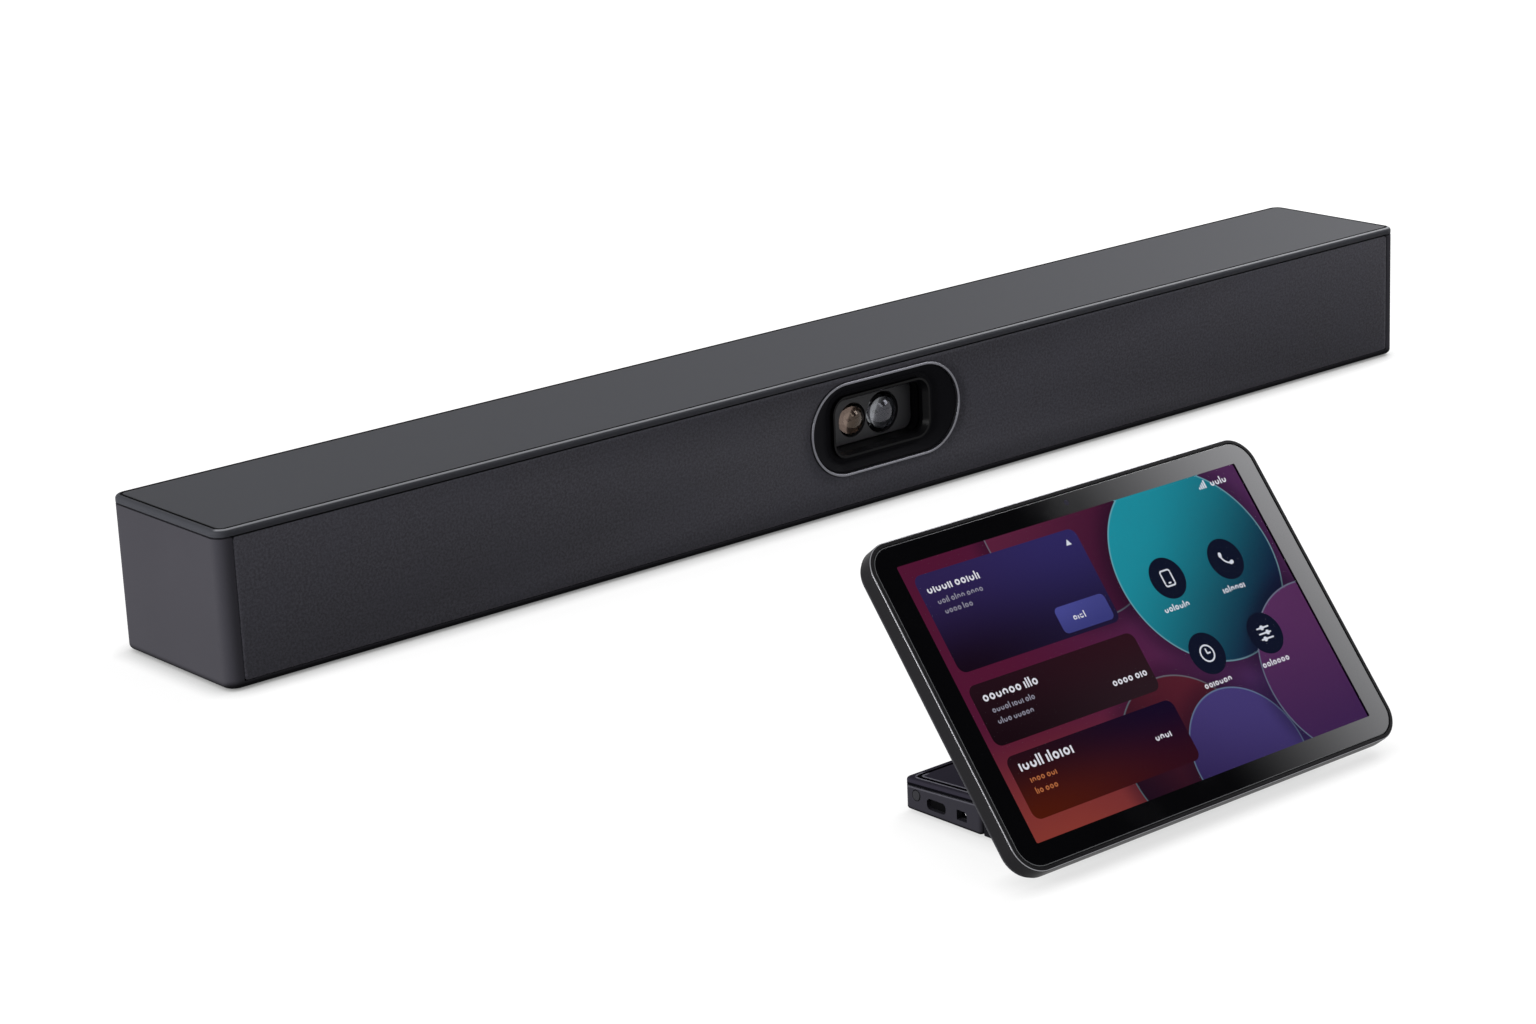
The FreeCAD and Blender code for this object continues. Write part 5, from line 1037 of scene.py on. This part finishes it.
def border_gloss():
    finish = Finish("border_gloss", IOR=1.5)
    smear = finish.noise(SMEAR_SIZE, 4.0)
    dust = finish.noise(0.8 * MM, 2.0)
    finish.set(Base_Color=finish.mix(dust, tone(5, 5, 6), tone(9, 9, 11)))
    return finish.set(Roughness=0.04 + 0.05 * finish.step(smear, 0.45, 0.75)).material


def window_clear():
    finish = Finish("window_clear", Transmission_Weight=1.0, IOR=1.02, Specular_IOR_Level=0.0)
    smear = finish.noise(SMEAR_SIZE, 4.0)
    finish.set(Base_Color=finish.mix(smear, tone(252, 252, 255), tone(248, 248, 252)))
    return finish.set(Roughness=0.005 + 0.01 * smear).material


print("smears on the glass about", round(SMEAR_SIZE / MM), "mm across")

# %% [markdown]
# ## The cover glass
# One sheet of glass covers the whole front. Two pieces show its two finishes better than one
# blended finish would: a black border, with the edge of its front ground round, and a clear
# window set in it. A small tinted disc in the border covers the light sensor.

# %% Glass border
GLASS_WIDE, GLASS_HIGH, GLASS_CORNER = 191.2, 123.8, 9.1
GLASS_FRONT, GLASS_BACK, GLASS_GRIND = 15.35, 14.25, 0.3
WINDOW_CORNER = 0.6


def is_outer(point):
    """Whether a point lies clear of the window, towards the rim of the glass."""
    return (abs(point.x) > PICTURE_WIDE / 2 + 2
            or abs(point.y - PICTURE_MIDDLE) > PICTURE_HIGH / 2 + 2)


bm = bmesh.new()
outer = outline(bm, 0, PICTURE_MIDDLE, GLASS_WIDE, GLASS_HIGH, GLASS_CORNER, GLASS_BACK, 12)
inner = outline(bm, 0, PICTURE_MIDDLE, PICTURE_WIDE, PICTURE_HIGH, WINDOW_CORNER, GLASS_BACK, 4)
bmesh.ops.delete(bm, geom=[outer, inner], context="FACES_ONLY")
bmesh.ops.triangle_fill(bm, use_beauty=True, use_dissolve=False, edges=bm.edges[:])
thicken(bm, bm.faces[:], GLASS_FRONT - GLASS_BACK)
bmesh.ops.recalc_face_normals(bm, faces=bm.faces)
front_rim = [edge for edge in bm.edges
             if all(abs(v.co.z - GLASS_FRONT) < MERGE and is_outer(v.co) for v in edge.verts)
             and len({round(face.normal.z, 2) for face in edge.link_faces}) > 1]
ground_edge = bmesh.ops.bevel(bm, geom=front_rim, offset=GLASS_GRIND, offset_type="OFFSET",
                              segments=2, profile=0.5, affect="EDGES", material=-1)
for face in ground_edge["faces"]:
    face.material_index = 1
border = on_screen("cover_glass_border", bm, [border_gloss(), glass_edge()], 12)
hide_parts("cover_glass")

# %% Glass window and sensor
WINDOW_PLAY = 0.02
SENSOR_UP, SENSOR_RADIUS = 106.6, 1.1

bm = bmesh.new()
plate(bm, 0, PICTURE_MIDDLE, PICTURE_WIDE - WINDOW_PLAY, PICTURE_HIGH - WINDOW_PLAY,
      WINDOW_CORNER, GLASS_BACK, GLASS_FRONT, 4)
window = on_screen("cover_glass_window", bm, [window_clear()])
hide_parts("cover_glass")

bm = bmesh.new()
disc(bm, 0, SENSOR_UP, SENSOR_RADIUS, GLASS_FRONT - 0.3, GLASS_FRONT + 0.01, 28)
on_screen("sensor_window", bm, [moulded("sensor_tint", tone(52, 50, 66), 0.12)])

# %% [markdown]
# ## Dressing the measured solids
# The rest of the set keeps its measured solids. A table from each finish to its nodes is
# easier to check than sixty assignments, and a last line proves that none was forgotten.

# %% Finishes of the solids
DRESS = {
    shell_plastic: ["bar_housing", "rear_panel"],
    cover_plastic: ["bar_top_cover"],
    woven_cloth: ["front_cloth"],
    zinc: ["bar_screws", "base_screws", "lug_screws"],
    rubber: ["bar_feet", "base_feet"],
    ring_paint: ["window_ring"],
    hood_black: ["camera_hood"],
    plate_black: ["lens_plate"],
    dish_black: ["window_dish"],
    black_plastic: ["shutter_blade", "shutter_guide", "picture_panel", "cover_glass",
                    "light_sensor"],
    port_black: ["side_usb_c_socket"],
    socket_black: ["network_socket", "power_inlet", "bar_button_switch", "main_lens_barrel",
                   "side_lens_barrel"],
    jack_plastic: ["side_power_jack"],
    main_glass: ["main_lens_glass"],
    side_glass: ["side_lens_glass"],
    board_lacquer: ["camera_board", "mic_boards", "main_board", "screen_board"],
    foot_lacquer: ["base_board"],
    steel: ["camera_bracket", "shutter_motor", "speaker_baskets", "hinge_shaft", "hinge_lugs",
            "ballast"],
    brass: ["shutter_gear", "wall_inserts", "tripod_insert"],
    foam: ["speaker_gaskets", "speaker_surrounds"],
    cone_paper: ["speaker_cones"],
    ferrite: ["speaker_magnets"],
    grille_plastic: ["front_grille", "speaker_boxes"],
    tin: ["mic_capsules", "video_sockets", "usb_a_socket", "rear_usb_c_socket"],
    sink_metal: ["heat_sink"],
    bay_plastic: ["rear_bay"],
    key_plastic: ["bar_button", "side_button"],
    foot_plastic: ["base_tray"],
    lid_plastic: ["base_lid"],
    neck_cast: ["hinge_neck"],
    frame_gloss: ["screen_frame"],
    back_plastic: ["screen_back_cover"],
}
dressed = set()
for material, names in DRESS.items():
    for name in names:
        for place in nodes[name].material_slots:
            place.material = material
        dressed.add(name)
print("dressed:", len(dressed), "bare:", sorted(set(nodes) - dressed))

# %% [markdown]
# ## A white floor
# The set stands on a wide flat floor. Its own grey only catches the light. Where the camera,
# gloss or glass see it, it also glows, so that it is white in the open and still takes a
# soft shadow close to the set.

# %% Floor finish
FLOOR_TONE, FLOOR_GLOW = tone(134, 134, 134), 0.96
GLOW_NEAR, GLOW_MORE, OPEN_FLOOR = 0.875, 0.125, (0.7, 1.6)
SHADOW_REACH, SHADOW_FRONT, SHADOW_MORE, SHADOW_BACK = 0.011, 0.3, 0.5, (0.0, 0.1)


def seen(graph):
    """1 for rays from the camera, off gloss or through glass, and 0 for all other light."""
    share = graph.node("ShaderNodeLightPath", out="Is Camera Ray")
    outputs = share.socket.node.outputs
    for name in ("Is Glossy Ray", "Is Transmission Ray"):
        share = share.top(Value(graph, outputs[name]))
    return share


def white_floor():
    finish = Finish("white_floor", Base_Color=FLOOR_TONE, Roughness=0.9, Specular_IOR_Level=0.1)
    near = finish.node("ShaderNodeAmbientOcclusion", {"samples": 6},
                       {"Distance": SHADOW_REACH}, "AO")
    x, y, z = finish.axes()
    shade = SHADOW_FRONT + SHADOW_MORE * finish.step(y, *SHADOW_BACK)
    away = finish.step((x * x + y * y) ** 0.5, *OPEN_FLOOR)
    share = seen(finish) * (GLOW_NEAR + GLOW_MORE * away) * (1 - shade * (1 - near))
    plain = Value(finish, finish.shader.outputs[0])
    light = finish.node("ShaderNodeEmission", {}, {"Color": WHITE, "Strength": FLOOR_GLOW})
    both = finish.node("ShaderNodeAddShader", {}, {0: plain, 1: light})
    lit = finish.node("ShaderNodeMixShader", {}, {0: share, 1: plain, 2: both})
    finish.feed(finish.tree.nodes["Material Output"].inputs["Surface"], lit)
    return finish.material


print("floor glow", FLOOR_GLOW, "shadow reach", SHADOW_REACH, "m")

# %% Floor
FLOOR_HALF, FLOOR_DROP = 6.0, -0.0003


def flat_square(name, segments, half, material):
    bm = bmesh.new()
    bmesh.ops.create_grid(bm, x_segments=segments, y_segments=segments, size=half)
    mesh = bpy.data.meshes.new(name)
    bm.to_mesh(mesh)
    bm.free()
    mesh.materials.append(material)
    return add(name, mesh)


floor = flat_square("floor", 8, FLOOR_HALF, white_floor())
floor.location.z = FLOOR_DROP
floor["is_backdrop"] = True
print("floor", 2 * FLOOR_HALF, "m wide")

# %% [markdown]
# ## A white room
# The camera, gloss and glass see pure white all round, while the light that the room sheds
# stays at a level where a grey renders as it is written. One mix of two backgrounds does it.

# %% World
ROOM_LIGHT, ROOM_SEEN = 0.27, 1.0

world = bpy.data.worlds.new("white_room")
bpy.context.scene.world = world
world.use_nodes = True
room = Graph(world.node_tree)
dim_node = room.tree.nodes["Background"]
room.feed(dim_node.inputs["Color"], WHITE)
room.feed(dim_node.inputs["Strength"], ROOM_LIGHT)
dim = Value(room, dim_node.outputs[0])
bright = room.node("ShaderNodeBackground", {}, {"Color": WHITE, "Strength": ROOM_SEEN})
blend = room.node("ShaderNodeMixShader", {}, {0: seen(room), 1: dim, 2: bright})
room.feed(room.tree.nodes["World Output"].inputs["Surface"], blend)
print("room light", ROOM_LIGHT)

# %% [markdown]
# ## Lamps
# A broad lamp on the left lights the end of the bar, one overhead its top and one in front
# the cloth. A low one behind keeps the sockets there from going black, and gloss doesn't see
# it, because it would mirror in the top.

# %% Lamps
# Each lamp: its place, what it points at, its width and height, its power.
LAMPS = {
    "left_lamp": ((-2.4, 0.35, 0.5), (-0.2, 0.15, 0.0), 1.6, 1.0, 68),
    "top_lamp": ((1.2, 0.35, 0.95), (0.25, 0.15, 0.0), 1.2, 0.9, 22),
    "front_lamp": ((0.7, -2.5, 1.6), (0.15, 0.0, 0.0), 1.6, 1.2, 13),
    "back_lamp": ((0.5, 2.4, 0.4), (0.0, 0.2, 0.03), 1.6, 0.7, 22),
}
lamps = {}
for name, (place, target, wide, high, power) in LAMPS.items():
    lamp = bpy.data.lights.new(name, "AREA")
    lamp.shape = "RECTANGLE"
    lamp.size, lamp.size_y, lamp.energy = wide, high, power
    lamps[name] = add(name, lamp)
    lamps[name].location = place
    aim = Vector(target) - Vector(place)
    lamps[name].rotation_euler = aim.to_track_quat("-Z", "Y").to_euler()
lamps["back_lamp"].visible_glossy = False
print("lamps:", len(lamps))

# %% [markdown]
# ## A reflector card
# Gloss needs something to mirror, so a card stands where the screen's border looks: dark for
# most of its width and bright at one side, as a studio flag and soft box give together. Only
# gloss sees it, so that it neither lights the set nor shades it.

# %% Reflector card
MIRROR_AIM = Vector((0.617, -0.449, 0.647))
CARD_DISTANCE, CARD_HALF = 1.1, 0.42
CARD_SLANT, CARD_BORDER = 0.34, (-0.05, -0.27)
CARD_DARK, CARD_BRIGHT = (0.02, 0.02, 0.025, 1), (6.6, 6.6, 6.8, 1)


def card_light():
    finish = Finish("card_light", Base_Color=BLACK, Specular_IOR_Level=0.0,
                    Emission_Strength=1.0)
    u, v, w = finish.axes()
    bright = finish.step(u + CARD_SLANT * v, *CARD_BORDER)
    return finish.set(Emission_Color=finish.mix(bright, CARD_DARK, CARD_BRIGHT)).material


screen_centre = SCREEN_BOARD @ Vector((0, PICTURE_MIDDLE, GLASS_FRONT))
card_place = screen_centre + MIRROR_AIM.normalized() * CARD_DISTANCE
card = flat_square("reflector_card", 2, CARD_HALF, card_light())
card.location = card_place
card.rotation_euler = (screen_centre - card_place).to_track_quat("Z", "Y").to_euler()
card.visible_camera = False
card.visible_diffuse = False
card.visible_shadow = False
card.visible_transmission = False
card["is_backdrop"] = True
print("card at", [round(v, 3) for v in card_place])

# %% [markdown]
# ## Last settings
# The view transform is the plain one, so that colours come out as written. The box of the
# dressed set is printed.

# %% Finish
bpy.context.scene.view_settings.view_transform = "Standard"
low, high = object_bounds()
print("visual box:", [round(v, 4) for v in high - low])
